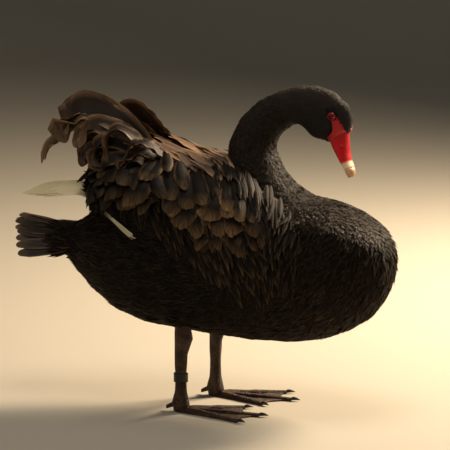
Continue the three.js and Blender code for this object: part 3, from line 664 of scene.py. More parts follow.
for side, hand in [(-1, "right"), (1, "left")]:
    rng = np.random.default_rng(31 + side)
    # small soft feathers over the whole arm
    small = 4600
    s = rng.uniform(-0.02, 1.0, small)
    t = rng.uniform(-0.08, 1.12, small)
    lean = np.interp(s, [0, 0.3, 0.5], [-0.5, 0.1, 0.3]) + rng.normal(0, 0.2, len(s))
    long = rng.uniform(15, 24, len(s))
    points, tt, aa = wing_vanes(rng, s, t, side, lean, long, long * 0.28, rows=5, columns=3,
                                profile=[0.5, 1, 1, 0.7, 0.15], rise=0.13, curl=0.07,
                                sway=0.1, frill=0.06)
    coat("wing_underlayer_" + hand, points, wing_place(s, t, side), tt, aa,
         rng.uniform(0, 1, len(s)), body_finish)
    # narrow pointed coverts in tiers, tips ragged
    tiers = 12
    to_a_tier = 38
    order = np.repeat(np.arange(tiers), to_a_tier)
    s = np.tile(np.linspace(0.16, 0.88, to_a_tier), tiers) + 0.009 * (order % 2)
    s += rng.normal(0, 0.01, len(s))
    t = np.interp(order, [0, tiers - 1], [-0.06, 0.72]) + rng.normal(0, 0.03, len(s))
    shown = (t > 0.2) | (s < 0.55)
    s, t, order = s[shown], t[shown], order[shown]
    lean = np.interp(s, [0.2, 0.35, 0.6, 0.9], [0.1, 0.55, 0.6, 0.2])
    lean += rng.normal(0, 0.09, len(s))
    long = rng.uniform(52, 80, len(s)) * np.interp(s, [0.15, 0.45, 0.9], [0.5, 1.0, 0.75])
    points, tt, aa = wing_vanes(rng, s, t, side, lean, long, long * 0.21, rows=9, columns=5,
                                profile=[0.4, 0.8, 1, 1, 0.85, 0.3], rise=0.09, curl=0.07,
                                sway=0.05, frill=0.06, camber=0.7, point=0.2, tilt=0.22)
    raised = 5.2 - 0.4 * order
    points += wing_frame(s, t, side)[3][:, None, None] * raised[:, None, None, None]
    coat("wing_coverts_" + hand, points, wing_place(s, t, side), tt, aa,
         np.interp(s, [0.2, 0.5, 0.65, 0.9], [0.6, 1, 0.7, 0.1])
         * np.clip(rng.uniform(0.1, 1, len(s)), 0, 1), covert_finish)
    # broad rounded scapulars that hang from the shoulder, scattered rather than in rows
    broad = 80
    golden = 0.618034  # steps of this share spread them evenly with no two in line
    s = 0.34 + 0.66 * (np.arange(broad) * golden % 1) + rng.normal(0, 0.015, broad)
    t = np.sort(rng.uniform(0.02, 0.36, broad))[::-1]
    t = t * np.interp(s, [0.34, 0.46, 0.6, 1], [0.8, 1.25, 1, 0.9])
    big = rng.uniform(0.72, 1.18, broad) * np.interp(s, [0.3, 0.5, 0.8, 1], [0.75, 1, 0.95, 0.7])
    lean = np.interp(s, [0.3, 0.5, 0.8], [0.5, 0.3, 0.0]) + rng.normal(0, 0.2, broad)
    points, tt, aa = wing_vanes(rng, s, t, side, lean, 84 * big,
                                37 * big * rng.uniform(0.65, 1.15, broad), rows=16, columns=11,
                                profile=[0.3, 0.55, 0.75, 0.9, 1.0, 1.05, 1.0, 0.88, 0.55],
                                rise=0.12, curl=0.2, sway=0.1, frill=0.035, camber=0.5,
                                point=0.12, tilt=0.14, sink=7)
    # each lies over the one below it, like tiles
    raised = np.interp(np.argsort(np.argsort(-t)), [0, broad - 1], [2.5, 8.5])
    points += wing_frame(s, t, side)[3][:, None, None] * raised[:, None, None, None]
    # painted light: the tone rises towards the ridge, so the upper scapulars get paler grounds and
    # bright cream tips as if lit from above; along the wing it is highest at the middle and lowest
    # at the rear, with a random share
    coat("scapulars_" + hand, points, wing_place(s, t, side), tt, aa,
         np.clip(np.interp(s, [0.3, 0.5, 0.7, 0.85, 1], [0.6, 1, 0.75, 0.25, 0.1])
                 * (rng.uniform(0.2, 0.9, broad) + 1.2 * (0.2 - t)), 0, 1), scapular_finish)
    # long smooth scapulars that lie along the ridge, tips to the rear; their pale finish is painted
    # light from above
    on_ridge = 64
    s = np.linspace(0.05, 0.8, on_ridge) + rng.normal(0, 0.012, on_ridge)
    t = rng.uniform(-0.13, 0.09 if side < 0 else 0.05, on_ridge)
    p, _, rear, out = wing_frame(s, t, side)
    above = unit(out * 0.6 + np.array([0, 0, 0.8]))
    lie = settle(rear + 0.09 * rng.normal(0, 1, rear.shape), above)
    long = rng.uniform(62, 88, on_ridge) * np.interp(s, [0.05, 0.35], [0.45, 1])
    raised = rng.uniform(5, 10, (on_ridge, 1)) + np.where(t > -0.03, 4, 0)[:, None]
    points, tt, aa = contour_vanes(rng, p + above * raised, lie, above, long, long * 0.34, 12, 7,
                                   SMOOTH_WIDTHS, rise=0.1, curl=0.05,
                                   sway=0.03, frill=0.02, camber=0.5, sink=13)
    coat("ridge_scapulars_" + hand, points, wing_place(s, t, side), tt, aa,
         rng.uniform(0.2, 1, on_ridge), painted_light_back_finish)

# Mantle. Long smooth feathers fill the trough over the back between the two wing ridges,
# tips to the rear, so that no gap shows from above.
rng = np.random.default_rng(41)
s, u = [k.ravel() for k in np.meshgrid(np.linspace(0.1, 0.84, 26), np.linspace(0.04, 0.96, 13))]
s = s + rng.normal(0, 0.012, len(s))
u = np.clip(u + rng.normal(0, 0.02, len(u)), 0, 1)
near = wing_frame(s, 0 * s, -1)[0]
far = wing_frame(s, 0 * s, 1)[0]
back = np.interp(s, [0.1, 0.3, 0.5, 0.84], [4, 14, 26, 30])
root = near * (1 - u)[:, None] + far * u[:, None]
root[:, 2] -= back * np.sin(np.pi * u) ** 0.7
rear = wing_frame(s, 0 * s, -1)[2] * [1, 0, 1] + wing_frame(s, 0 * s, 1)[2] * [1, 0, 1]
slope = (u - 0.5)[:, None] * -1.5
out = unit(np.array([0, 1.0, 0]) * slope + np.array([0.25, 0, 1.0]))
lie = settle(unit(rear) + 0.1 * rng.normal(0, 1, root.shape), out)
long = rng.uniform(44, 70, len(s))
points, t, a = contour_vanes(rng, root, lie, out, long, long * 0.3, 9, 7,
                             SMOOTH_WIDTHS, rise=0.12, curl=0.06, sway=0.04,
                             frill=0.03, camber=0.5, sink=6)
# the mantle wears the ridge scapulars' pale finish: painted light from above on the top of the back
coat("mantle_plumage", points, np.stack([0.3 + 0.2 * s, 0.3 + 0.4 * u], 1), t, a,
     rng.uniform(0, 1, len(s)), painted_light_back_finish)

# Rump. Behind the mantle a slope of dark, broad feathers falls between the wing tips to the
# upper side of the tail, and closes the bird's back as seen from behind.
rng = np.random.default_rng(43)
q, u = [k.ravel() for k in np.meshgrid(np.linspace(0, 1, 9), np.linspace(-1, 1, 11))]
q = q + rng.normal(0, 0.02, len(q))
root = np.stack([-92 - 88 * q, u * (36 - 4 * q), 380 - 80 * q + 5 * u * u], 1) + ORIGIN
out = unit(np.stack([np.full(len(q), -0.67), 0.25 * u, np.full(len(q), 0.74)], 1))
lie = settle(np.array([-0.74, 0, -0.67]) + 0.1 * rng.normal(0, 1, root.shape), out)
long = rng.uniform(42, 62, len(q))
points, t, a = contour_vanes(rng, root, lie, out, long, long * 0.4, 8, 7,
                             [0.3, 0.8, 1, 1, 0.9, 0.4], rise=0.12, curl=0.08, sway=0.05,
                             frill=0.03, camber=0.5, sink=5)
coat("rump_plumage", points, np.stack([0.5 + 0.1 * q, 0.5 + 0.1 * u], 1), t, a,
     rng.uniform(0, 0.5, len(q)), scapular_finish)

# Curled tertials. The inner wing feathers of this bird stand up over its back in crisp
# curls: broad satin vanes, rolled over and frilled along both edges. Their brown is painted
# light, standing for light that shines through the vanes.

# Each curl: half its width, how far its edge stands up, and the knots of its shaft, x y z,
# with y counted outwards from the middle
CURLS = {
    "right": [
        [22, 0.8, [[-62, 44, 404], [-110, 44, 446], [-150, 42, 470], [-186, 40, 479],
                   [-212, 38, 466], [-224, 38, 444], [-214, 40, 424]]],
        [15, 0.7, [[-64, 50, 404], [-120, 50, 440], [-155, 50, 449], [-178, 51, 441],
                   [-187, 53, 416]]],
        [11, 0.35, [[-60, 58, 402], [-100, 62, 436], [-122, 66, 447], [-135, 70, 434],
                    [-137, 72, 408], [-129, 68, 390]]],
        [12, 0.6, [[-62, 54, 398], [-120, 60, 422], [-148, 64, 424], [-161, 66, 408],
                   [-156, 68, 390], [-143, 70, 382]]],
        [9, 0.3, [[-40, 58, 398], [-64, 74, 423], [-88, 80, 426], [-100, 84, 412]]],
        [9, 0.35, [[-44, 62, 392], [-74, 80, 412], [-92, 85, 405], [-105, 88, 394],
                   [-97, 90, 384]]],
        [10, 0.75, [[-84, 36, 414], [-150, 34, 446], [-195, 32, 450], [-222, 31, 438],
                    [-242, 30, 420], [-254, 30, 404], [-264, 30, 386]]],
        [8, 0.3, [[-60, 62, 388], [-84, 84, 398], [-104, 88, 388], [-118, 88, 378]]],
        [11, 0.7, [[-84, 56, 394], [-126, 70, 400], [-142, 75, 378], [-136, 78, 356]]],
        [13, 0.75, [[-80, 48, 396], [-136, 52, 416], [-172, 54, 408], [-184, 56, 388]]],
        [19, 0.9, [[-62, 46, 392], [-112, 44, 424], [-152, 42, 440], [-184, 42, 434],
                   [-200, 42, 412]]],
        [19, 0.9, [[-62, 48, 384], [-112, 46, 404], [-150, 46, 414], [-176, 46, 404],
                   [-188, 46, 384]]],
        [16, 0.9, [[-66, 52, 376], [-112, 52, 388], [-146, 52, 390], [-166, 52, 378],
                   [-174, 52, 360]]],
    ],
    "left": [
        [18, 0.75, [[-54, 44, 400], [-86, 40, 428], [-108, 38, 452], [-130, 37, 464],
                    [-151, 37, 456], [-162, 39, 438]]],
        [15, 0.7, [[-60, 46, 402], [-92, 46, 422], [-118, 46, 434], [-143, 46, 436],
                   [-160, 48, 424]]],
        [20, 0.8, [[-70, 42, 402], [-132, 40, 432], [-170, 38, 444], [-196, 36, 446],
                   [-214, 36, 432], [-220, 38, 410]]],
        [13, 0.6, [[-62, 54, 398], [-128, 56, 412], [-154, 60, 410], [-165, 62, 396],
                   [-156, 66, 380]]],
        [10, 0.35, [[-40, 58, 394], [-70, 74, 414], [-92, 80, 412], [-102, 84, 400]]],
        [9, 0.35, [[-60, 62, 384], [-82, 84, 394], [-104, 88, 384], [-116, 90, 372]]],
        [11, 0.7, [[-84, 56, 392], [-128, 69, 396], [-144, 75, 374], [-138, 78, 352]]],
        [18, 0.9, [[-62, 46, 388], [-112, 44, 410], [-148, 44, 420], [-176, 44, 410],
                   [-188, 44, 390]]],
        [16, 0.9, [[-66, 52, 376], [-112, 52, 388], [-146, 52, 390], [-166, 52, 378],
                   [-174, 52, 360]]],
    ],
}


def smooth_run(knots, amount):
    """Even points, directions and share along a smooth curve through the knots."""
    knots = np.asarray(knots, float)
    ends = [2 * knots[0] - knots[1], *knots, 2 * knots[-1] - knots[-2]]
    dense = []
    for k in range(len(knots) - 1):
        p0, p1, p2, p3 = ends[k:k + 4]
        u = np.linspace(0, 1, 24, endpoint=False)[:, None]
        dense.append(0.5 * (2 * p1 + (p2 - p0) * u + (2 * p0 - 5 * p1 + 4 * p2 - p3) * u ** 2
                            + (3 * p1 - p0 - 3 * p2 + p3) * u ** 3))
    dense = np.concatenate([*dense, knots[-1:]])
    run = np.concatenate([[0], np.cumsum(np.linalg.norm(np.diff(dense, axis=0), axis=1))])
    at = np.linspace(0, run[-1], amount)
    points = np.stack([np.interp(at, run, dense[:, k]) for k in range(3)], 1)
    return points, unit(np.gradient(points, axis=0)), run[-1]


def blade(knots, half, edge, profile, rows=26, columns=11, frill=0.0, waves=3.0, phase=0.0,
          camber=0.1, slip=0.0, swing=0.0, point=0.12):
    """One long vane along a curve; edge is its sideways direction."""
    points, ahead, length = smooth_run(knots, rows)
    side = np.asarray(edge, float)[None] - ahead * (ahead @ np.asarray(edge, float))[:, None]
    side = unit(side)
    up = np.cross(ahead, side)
    t = np.linspace(0, 1, rows)[:, None]
    a = np.linspace(-1, 1, columns)[None]
    width = half * np.interp(t, np.linspace(0, 1, len(profile)), profile)
    ruffle = frill * half * np.abs(a) ** 2.2 * np.sin(2 * np.pi * waves * t + phase + 1.3 * a)
    lift = ruffle * np.clip(t * 3, 0, 1) - camber * width * a * a + slip
    back = -point * a * a * length * t ** 2
    across = width * a + swing * half * t ** 2
    return (points[:, None] + side[:, None] * across[..., None] + up[:, None] * lift[..., None]
            + ahead[:, None] * back[..., None])


def blades_piece(name, blades, place, tones, finish):
    """Long vanes of one kind as a piece of the coat."""
    points = np.stack(blades)
    t, a = vane_grid(*points.shape[1:3])
    return coat(name, points, place, t, a, tones, finish)


# Crisp satin vanes, brown with pale frilled edges: the brown is painted light shining through them,
# and the pale edges are painted highlights
curl_painted_light_finish = barb_finish("crisp_curled_tertial_painted_backlight", "#100b09", "#32221a", "#6b4c3a", "#cba57c",
                          edge_from=0.5, rough=0.5, sheen=0.08, streak=0.7)
for side, hand in [(-1, "right"), (1, "left")]:
    rng = np.random.default_rng(51 + side)
    made = []
    places = []
    # each curl is three layers of vane, the upper ones shorter and narrower
    for number, (half, stand, knots) in enumerate(CURLS[hand]):
        knots = np.array(knots, float)
        knots[:, 1] *= side
        knots += ORIGIN
        edge = np.array([0, -side * (1 - stand), stand])
        for layer in range(3):
            loose = np.linspace(0, 1, len(knots))[:, None]
            moved = knots + rng.normal(0, 2.2, knots.shape) * loose
            moved[-1] += (moved[-1] - moved[-2]) * (0.12 - 0.2 * layer)
            made.append(blade(moved, half * (1.04 - 0.16 * layer), edge,
                              [0.3, 0.7, 0.95, 1, 1.05, 1, 0.6],
                              frill=0.2, point=0.07, waves=rng.uniform(2.2, 4.5),
                              phase=rng.uniform(0, 6.28), camber=0.16,
                              slip=1.6 * (layer - 1), swing=rng.uniform(-0.2, 0.2)))
            places.append([0.7 + 0.02 * number + (0.25 if side > 0 else 0), 0.02 + 0.006 * layer])
    piece = blades_piece("curled_tertials_" + hand, made, np.array(places) * [0.95, 1],
                         rng.uniform(0, 1, len(made)), curl_painted_light_finish)
    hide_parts("tertials_" + hand)

# White flight feathers. The outer flight feathers are white: stiff, narrow vanes with a
# firm shaft, crossed over the tail. A sliver of the inner ones shows below the wing's
# lower edge.

PRIMARIES = [(297, 332, 38, 8.5), (291, 332, 41, 8), (284, 331, 44, 8), (270, 331, 47, 7.5),
             (254, 331, 51, 7)]  # reach to the rear, height of the tip, y, half the width
SLIVERS = 3
# Stiff satin vanes, creamy white and nearly even in tone, the brightest thing on the bird
white_finish = barb_finish("white_flight_feather", "#eadba8", "#f3e8c0", "#f8efcd", "#fff8e0",
                           edge_from=0.4, rough=0.5, sheen=0.1, streak=0.4)
for side, hand in [(-1, "right"), (1, "left")]:
    rng = np.random.default_rng(61 + side)
    made = []
    for k, (reach, tip, y, half) in enumerate(PRIMARIES):
        low = 1.1 * k + (6 if side > 0 else 0)
        knots = np.array([[-108, side * 52, 338 - low], [-172, side * (46 + k), 345 - low],
                          [-0.8 * reach, side * y, 346 - low], [-reach, side * y, tip]]) + ORIGIN
        made.append(blade(knots, half + 2, [0, -side * 0.75, 0.8],
                          [0.4, 0.9, 1, 1, 0.95, 0.8, 0.2], camber=0.14, frill=0.02, waves=2,
                          phase=k, point=0.03))
    number = len(made)
    piece = blades_piece("white_primaries_" + hand, made,
                         np.stack([0.7 + 0.02 * np.arange(number), np.full(number, 0.98)], 1),
                         rng.uniform(0, 1, number), white_finish)
    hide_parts("primaries_" + hand)
    made = []
    for k in range(SLIVERS):
        knots = np.array([[-20 - 3 * k, side * 86, 250 + 3 * k],
                          [-76 - 2 * k, side * 92, 272 + 3 * k],
                          [-138, side * (84 - k), 314 + 2 * k]]) + ORIGIN
        made.append(blade(knots, 2.6, [0.4, -side * 0.4, 1], [0.2, 0.8, 1, 1, 0.8, 0.15],
                          camber=0.12))
    piece = blades_piece("white_secondaries_" + hand, made,
                         np.stack([0.82 + 0.02 * np.arange(SLIVERS), np.full(SLIVERS, 0.98)], 1),
                         rng.uniform(0, 1, SLIVERS), white_finish)
    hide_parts("secondaries_" + hand)

# Tail. A short fan of black tail feathers, with worn brown tips, and soft coverts over and
# under its root.

# Stiff greyish black vanes with a soft sheen, brown and frayed where the ground wears them
tail_finish = barb_finish("worn_tail_feather", "#12100e", "#231d19", "#4a3c30", "#8b6f55",
                          edge_from=0.6, rough=0.5, sheen=0.2, streak=0.6)
rng = np.random.default_rng(71)
made = []
places = []
TAIL_FEATHERS = 18
KNOTS = 5  # along the shaft of each
for number, f in enumerate(np.linspace(-0.98, 0.98, TAIL_FEATHERS)):
    f_here = np.full(KNOTS, f) + np.linspace(0, rng.normal(0, 0.02), KNOTS)
    x = np.linspace(-226, -316 + abs(rng.normal(0, 3)), KNOTS)
    knots = tail_point(f_here, x, 2.0 - abs(f) + 1.2 * (number % 2))
    beside = [tail_point(np.array([f + step]), x[-1:], 0)[0] for step in (-0.1, 0.1)]
    edge = beside[1] - beside[0]
    made.append(blade(knots, 9.5, edge, [0.5, 0.9, 1, 1, 0.95, 0.6], camber=0.08, frill=0.03,
                      waves=2, phase=number, point=0.05))
    places.append([0.03, 0.5 + 0.4 * f])
blades_piece("tail_feathers", made, np.array(places), rng.uniform(0, 1, len(made)), tail_finish)
for name, lift in [("tail_coverts_upper", 10), ("tail_coverts_under", -10)]:
    many = 150
    f = rng.uniform(-1, 1, many)
    x = rng.uniform(-236, -176, many)
    root = tail_point(f, x, lift * np.clip((x - TAIL_FLESH_END) / 70, 0.2, 1.3))
    ahead = unit(tail_point(f, x - 4, lift) - tail_point(f, x, lift))
    rise = np.array([0, 0, 1.0 if lift > 0 else -1.0]) + np.stack([0 * f, f * 0.5, 0 * f], 1)
    out = settle(unit(rise), ahead)
    long = rng.uniform(26, 38, many)
    points, t, a = contour_vanes(rng, root, settle(ahead, out), out, long, long * 0.42, 6, 5,
                                 [0.5, 1, 1, 0.8, 0.2], rise=0.06, curl=0.04, sway=0.06,
                                 frill=0.05)
    coat(name, points, np.stack([0.01 + 0.1 * (x - TAIL_FLESH_END) / 90, 0.5 + 0.4 * f], 1), t, a,
         rng.uniform(0, 1, many), body_finish)

# Bill. Horn over bone, satin and a little waxy: crimson, a whitish band near the tip, a
# pinkish nail, slit nostrils, and a dark line where the two halves meet.


def measured(piece):
    """How far along the bill each point lies, in mm, kept on the mesh for its finish."""
    forward, _, _ = head_place(rows_of(piece.data.vertices, "co") * 1000)
    put_vertex_values(piece.data, forward=forward)
    return piece


RED_DEPTH = (0.004, 0.001, 0.0008)  # m that red, green and blue light reach into the tissue

# Grown horn, rubbed smooth: a waxy sheen over deep crimson that is a little cloudy. Flecks
# and pores, 260 and 900 to the bill's own box, are 0.3 mm and less, finer than is seen.
horn, tree, shader = finish_of("waxy_red_bill_horn")
forward_at = add(tree, "ShaderNodeAttribute", attribute_name="forward")
mottle = add(tree, "ShaderNodeTexNoise", [("Scale", 260.0), ("Detail", 3.0)])
wander = add(tree, "ShaderNodeMath", [(0, mottle, "Fac"), (1, 5.0), (2, forward_at, "Fac")],
             operation="MULTIPLY_ADD")
# mm along the bill, from its base to its tip
place = add(tree, "ShaderNodeMapRange", [("Value", wander, 0), ("From Min", -10.0),
                                         ("From Max", 74.0)])
zones = add(tree, "ShaderNodeValToRGB", [("Fac", place, 0)])
set_ramp(zones, [(0.0, tint("#bd0a16")), (0.5, tint("#d00f1d")), (0.665, tint("#cf1c28")),
                 (0.71, tint("#ecd7ae")), (0.79, tint("#efdcb6")), (0.84, tint("#dcb18a")),
                 (1.0, tint("#cb976f"))])
veins = add(tree, "ShaderNodeMapRange", [("Value", mottle, "Fac"), ("From Min", 0.45),
                                         ("From Max", 0.75), ("To Max", 0.45)])
stain = add(tree, "ShaderNodeMix", [(0, veins, 0), (6, zones, 0), (7, tint("#7a0610"))],
            data_type="RGBA")
pores = add(tree, "ShaderNodeTexNoise", [("Scale", 900.0), ("Detail", 2.0)])
pitting = add(tree, "ShaderNodeBump", [("Strength", 0.25), ("Distance", 0.0006),
                                       ("Height", pores, "Fac")])
feed(tree, shader, stain.outputs[2], {
    "Roughness": 0.4, "IOR": 1.5, "Specular IOR Level": 0.35, "Coat Weight": 0.08,
    "Coat Roughness": 0.25, "Subsurface Weight": 0.08, "Subsurface Radius": RED_DEPTH,
}, pitting)
for name, node, slot in [("upper_bill", "bill_upper", "bill"),
                         ("bill_tip_nail", "bill_nail", "bill_nail"),
                         ("lower_bill", "bill_lower", "bill")]:
    piece = measured(worked(name, [node], grain=0.7, smooth=9))
    piece.data.materials.append(horn)
    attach(piece, "root")
    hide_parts(node)

# Bare face. Between eye and bill the skin is bare, red and finely wrinkled, and runs up
# in a point on each side of the black feathers of the forehead.

# Live bare skin: a soft, moist-looking red that is darker in patches. Its wrinkles and
# patches, 900 and 180 to each piece's own box, are under 0.3 mm, finer than is seen.
bare_finish, tree, shader = finish_of("bare_red_face_skin")
grain = add(tree, "ShaderNodeTexVoronoi", [("Scale", 900.0)])
flush = add(tree, "ShaderNodeTexNoise", [("Scale", 180.0), ("Detail", 2.0)])
blood = add(tree, "ShaderNodeValToRGB", [("Fac", flush, "Fac")])
set_ramp(blood, [(0.3, tint("#a8091a")), (0.7, tint("#c40f1c"))])
warts = add(tree, "ShaderNodeBump", [("Strength", 0.4), ("Distance", 0.0005),
                                     ("Height", grain, "Distance")])
feed(tree, shader, blood.outputs["Color"], {
    "Roughness": 0.45, "Subsurface Weight": 0.12, "Subsurface Radius": RED_DEPTH,
}, warts)
for hand in ("right", "left"):
    lore = worked("bare_face_" + hand, ["bare_skin_" + hand], grain=0.6, smooth=5)
    lid = worked("eyelid_rim_" + hand, ["eyelid_" + hand], grain=0.35, smooth=3)
    for piece, node in [(lore, "bare_skin_" + hand), (lid, "eyelid_" + hand)]:
        piece.data.materials.append(bare_finish)
        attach(piece, "root")
        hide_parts(node)

# Eyes. A dark-red iris round a black pupil, under a clear cornea that stands out in a low
# dome and is kept wet by the lids.

# Cornea over iris: a sharp wet highlight on a dark centre, with a red glow round it. The
# flecks, 1400 to the eye's own box, are far finer than is seen and only soften the rings.
iris_finish, tree, shader = finish_of("wet_red_eye")
gaze = add(tree, "ShaderNodeAttribute", attribute_name="gaze")
fleck = add(tree, "ShaderNodeTexNoise", [("Scale", 1400.0), ("Detail", 2.0)])
jitter = add(tree, "ShaderNodeMath", [(0, fleck, "Fac"), (1, 0.06), (2, gaze, "Fac")],
             operation="MULTIPLY_ADD")
rings = add(tree, "ShaderNodeValToRGB", [("Fac", jitter, 0)])
set_ramp(rings, [(0.0, tint("#040303")), (0.46, tint("#050303")), (0.53, tint("#3d070a")),
                 (0.66, tint("#8a0d15")), (0.8, tint("#7a0c13")), (0.95, tint("#2a0606"))])
feed(tree, shader, rings.outputs["Color"], {
    "Roughness": 0.12, "IOR": 1.38, "Coat Weight": 0.4, "Coat Roughness": 0.03,
})
EYE_OUT = 19.5  # mm from the head's middle plane
BALL = 6.75
CORNEA = 0.3
SPOKES = 32
for side, hand in [(-1, "right"), (1, "left")]:
    centre = head_point(*EYE_PLACE, EYE_OUT, side)
    gaze_dir = unit(head_left * side + bill_axis * 0.22 + head_up * 0.12)
    across = unit(np.cross(gaze_dir, head_up))
    upward = np.cross(across, gaze_dir)
    polar = np.linspace(0, math.pi, 25)
    points = []
    faces = []
    gazes = []
    for ring, angle in enumerate(polar):
        dome = BALL + CORNEA * math.exp(-(angle / 0.55) ** 2)
        for k in range(SPOKES):
            turn = k * math.tau / SPOKES
            spoke = across * math.cos(turn) + upward * math.sin(turn)
            points.append(centre + dome * (gaze_dir * math.cos(angle) + spoke * math.sin(angle)))
            gazes.append(min(1.0, math.sin(angle) / 0.95) if angle < 1.57 else 1.0)
            if ring:
                a = ring * SPOKES + k
                b = ring * SPOKES + (k + 1) % SPOKES
                faces.append((a - SPOKES, a, b, b - SPOKES))
    mesh = raw_mesh("eyeball_" + hand, points, faces)
    put_vertex_values(mesh, gaze=gazes)
    shade_smooth(mesh)
    mesh.materials.append(iris_finish)
    eyeball = link("eyeball_" + hand, mesh)
    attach(eyeball, "root")
    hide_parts("eye_" + hand)

# Legs and feet. Leathery grey-brown skin in small plates, with webs between the three
# front toes of each foot.

# Dry scaled skin: dull, with dark grooves between small plates and paler worn patches. At
# 300 to the metre the plates are 3.3 mm across, and at 60 the patches are 17 mm.
scale_finish, tree, shader = finish_of("scaly_leg_skin")
where = add(tree, "ShaderNodeTexCoord")
plates = add(tree, "ShaderNodeTexVoronoi", [("Vector", where, "Object"), ("Scale", 300.0)],
             feature="DISTANCE_TO_EDGE")
groove = add(tree, "ShaderNodeMapRange", [("Value", plates, "Distance"), ("From Max", 0.2)])
dirt = add(tree, "ShaderNodeTexNoise", [("Vector", where, "Object"), ("Scale", 60.0),
                                        ("Detail", 4.0)])
skin_tone = add(tree, "ShaderNodeValToRGB", [("Fac", dirt, "Fac")])
set_ramp(skin_tone, [(0.3, tint("#2e1d15")), (0.52, tint("#5a3d2a")), (0.78, tint("#866343"))])
lined = add(tree, "ShaderNodeMix", [(0, groove, 0), (6, tint("#1c120d")), (7, skin_tone, 0)],
            data_type="RGBA")
scaled = add(tree, "ShaderNodeBump", [("Strength", 0.9), ("Distance", 0.001),
                                      ("Height", groove, 0)])
feed(tree, shader, lined.outputs[2], {"Roughness": 0.55}, scaled)


def claws_of(hand):
    """Where each claw of a foot starts, and the way it points, in mm."""
    for toe in ("outer", "middle", "inner"):
        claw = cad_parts["claw_" + hand + "_" + toe].data
        co = np.array([v.co for v in claw.vertices]) * 1000
        back = co[co[:, 0] < co[:, 0].min() + 1.5].mean(0)
        yield back, unit(co.mean(0) - back)


FLOOR_GAP = 0.02  # mm, the least height of a foot
for hand in ("right", "left"):
    for name, node, grain, smooth in [("shank_", "leg_", 1.0, 8),
                                      ("webbed_foot_", "foot_", 0.7, 2)]:
        piece = worked(name + hand, [node + hand], grain, smooth)
        co = rows_of(piece.data.vertices, "co") * 1000
        normal = rows_of(piece.data.vertices, "normal")
        # fuller at joint and ankle, close to the bone under the ring
        swell = np.full(len(co), 0.3)
        if name == "shank_":
            swell = np.interp(co[:, 2], [8, 22, 34, 60, 76, 130], [2.6, 1.6, 0.4, 0.4, 1.5, 1.8])
        co += normal * swell[:, None]
        # each toe reaches into its claw
        if name == "webbed_foot_":
            for back, ahead in claws_of(hand):
                gap = np.linalg.norm(co - back, axis=1)
                co += ahead * 3.0 * np.exp(-(gap / 4.0) ** 2)[:, None]
        co[:, 2] = np.maximum(co[:, 2], FLOOR_GAP)
        set_form(piece.data, co)
        piece.data.materials.append(scale_finish)
        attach(piece, "root")
        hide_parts(node + hand)

# Claws. Blunt, curved black horn on the three front toes of each foot, grown from the end
# of the toe, scratched and a little worn at the tip.

# Polished by the ground, the horn has a low sheen and greyer scratches. These, 420 to the
# claw's own box, are finer than is seen.
claw_finish, tree, shader = finish_of("black_claw_horn")
wear = add(tree, "ShaderNodeTexNoise", [("Scale", 420.0), ("Detail", 2.0)])
claw_tone = add(tree, "ShaderNodeValToRGB", [("Fac", wear, "Fac")])
set_ramp(claw_tone, [(0.35, tint("#120f0e")), (0.75, tint("#3a312b"))])
feed(tree, shader, claw_tone.outputs["Color"], {"Roughness": 0.38})
for hand in ("right", "left"):
    for toe in ("outer", "middle", "inner"):
        node = "claw_" + hand + "_" + toe
        piece = worked("toe_" + node, [node], grain=0.4, smooth=2, sink=-0.25)
        for spot in piece.data.vertices:
            spot.co.z = max(spot.co.z, FLOOR_GAP / 1000)
        piece.data.materials.append(claw_finish)
        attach(piece, "root")
        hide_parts(node)

# Leg ring. A plain dark band of moulded plastic, closed loosely round the near shank, with
# its rims rounded by wear.

# Smooth plastic, dulled by grit: a soft, low highlight on near black. The scuffs, 240 to
# the band's own box, are about 0.1 mm.
band_finish, tree, shader = finish_of("moulded_dark_plastic_band")
scuff = add(tree, "ShaderNodeTexNoise", [("Scale", 240.0), ("Detail", 4.0)])
band_tone = add(tree, "ShaderNodeValToRGB", [("Fac", scuff, "Fac")])
set_ramp(band_tone, [(0.35, tint("#141416")), (0.8, tint("#2b2a2b"))])
feed(tree, shader, band_tone.outputs["Color"], {"Roughness": 0.4})
band = worked("leg_band", ["leg_ring"], grain=0.5, smooth=4)
band.data.materials.append(band_finish)
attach(band, "root")
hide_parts("leg_ring")

# Floor, light and camera. A plain pale studio sweep. One broad soft light behind and
# above on the right rims the feathers, and weak soft ones fill from the front and from
# above.
SWEEP = [(-5.5, 0.0), (4.8, 0.0), (5.5, 0.12), (5.9, 0.5), (6.1, 1.2), (6.1, 6.0)]  # m, y z
rows = len(SWEEP)
sweep = [(x * 1000, y * 1000, z * 1000) for x in (-6.0, 6.0) for y, z in SWEEP]
strips = [(k, k + 1, k + 1 + rows, k + rows) for k in range(rows - 1)]
floor = link("floor", raw_mesh("floor", sweep, strips))
shade_smooth(floor.data)

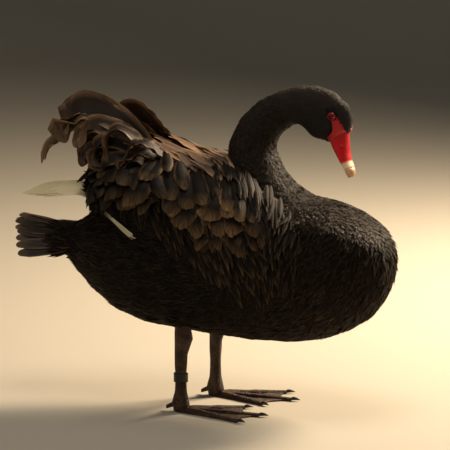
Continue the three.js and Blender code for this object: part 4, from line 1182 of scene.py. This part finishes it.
# Coated background paper: even, pale and dead matt, so that only soft shade shows on it
paper, tree, shader = finish_of("pale_paper_sweep")
shader.inputs["Base Color"].default_value = tint("#c4beb1")
shader.inputs["Roughness"].default_value = 0.9
floor.data.materials.append(paper)

world = bpy.data.worlds.new("studio")
bpy.context.scene.world = world
world.use_nodes = True
world.node_tree.nodes["Background"].inputs["Color"].default_value = tint("#c9c6c0")
world.node_tree.nodes["Background"].inputs["Strength"].default_value = 0.11


def soft_light(name, place, aim, size, power, colour):
    """A square softbox at a place, turned to its aim."""
    lamp = bpy.data.lights.new(name, "AREA")
    lamp.shape = "SQUARE"
    lamp.size = size
    lamp.energy = power
    lamp.color = tint(colour)[:3]
    holder = link(name, lamp)
    holder.location = place
    holder.rotation_euler = (Vector(aim) - Vector(place)).to_track_quat("-Z", "Y").to_euler()


soft_light("rim_softbox", (1.2, 1.5, 1.5), (0.0, 0.0, 0.3), 0.9, 135, "#ffe6c4")
soft_light("fill_softbox", (-1.2, -2.2, 1.3), (0.0, 0.0, 0.25), 1.8, 7, "#fff3e2")
soft_light("top_softbox", (0.2, -0.3, 2.2), (0.0, 0.0, 0.3), 1.0, 16, "#fff0dc")

# The camera looks at the bird's right side from a little above, as in the photo
CAMERA_AWAY = 4.0  # m
PICTURE_WIDE = 0.72  # m across the picture at the bird: 450 pixels of 1.6 mm
azimuth = math.radians(18)
elevation = math.radians(9.6)
right = Vector((math.cos(azimuth), math.sin(azimuth), 0))
upright = Vector((-math.sin(azimuth) * math.sin(elevation),
                  math.cos(azimuth) * math.sin(elevation), math.cos(elevation)))
away = Vector((math.sin(azimuth) * math.cos(elevation),
               -math.cos(azimuth) * math.cos(elevation), math.sin(elevation)))
target = right * 0.032 + upright * 0.2858 + Vector((0.0045, 0, 0))
lens = bpy.data.cameras.new("camera")
lens.sensor_width = 36
lens.lens = lens.sensor_width * CAMERA_AWAY / PICTURE_WIDE
camera = link("camera", lens)
camera.location = target + away * CAMERA_AWAY
camera.rotation_euler = (target - camera.location).to_track_quat("-Z", "Y").to_euler()
bpy.context.scene.camera = camera
bpy.context.scene.view_settings.view_transform = "Standard"
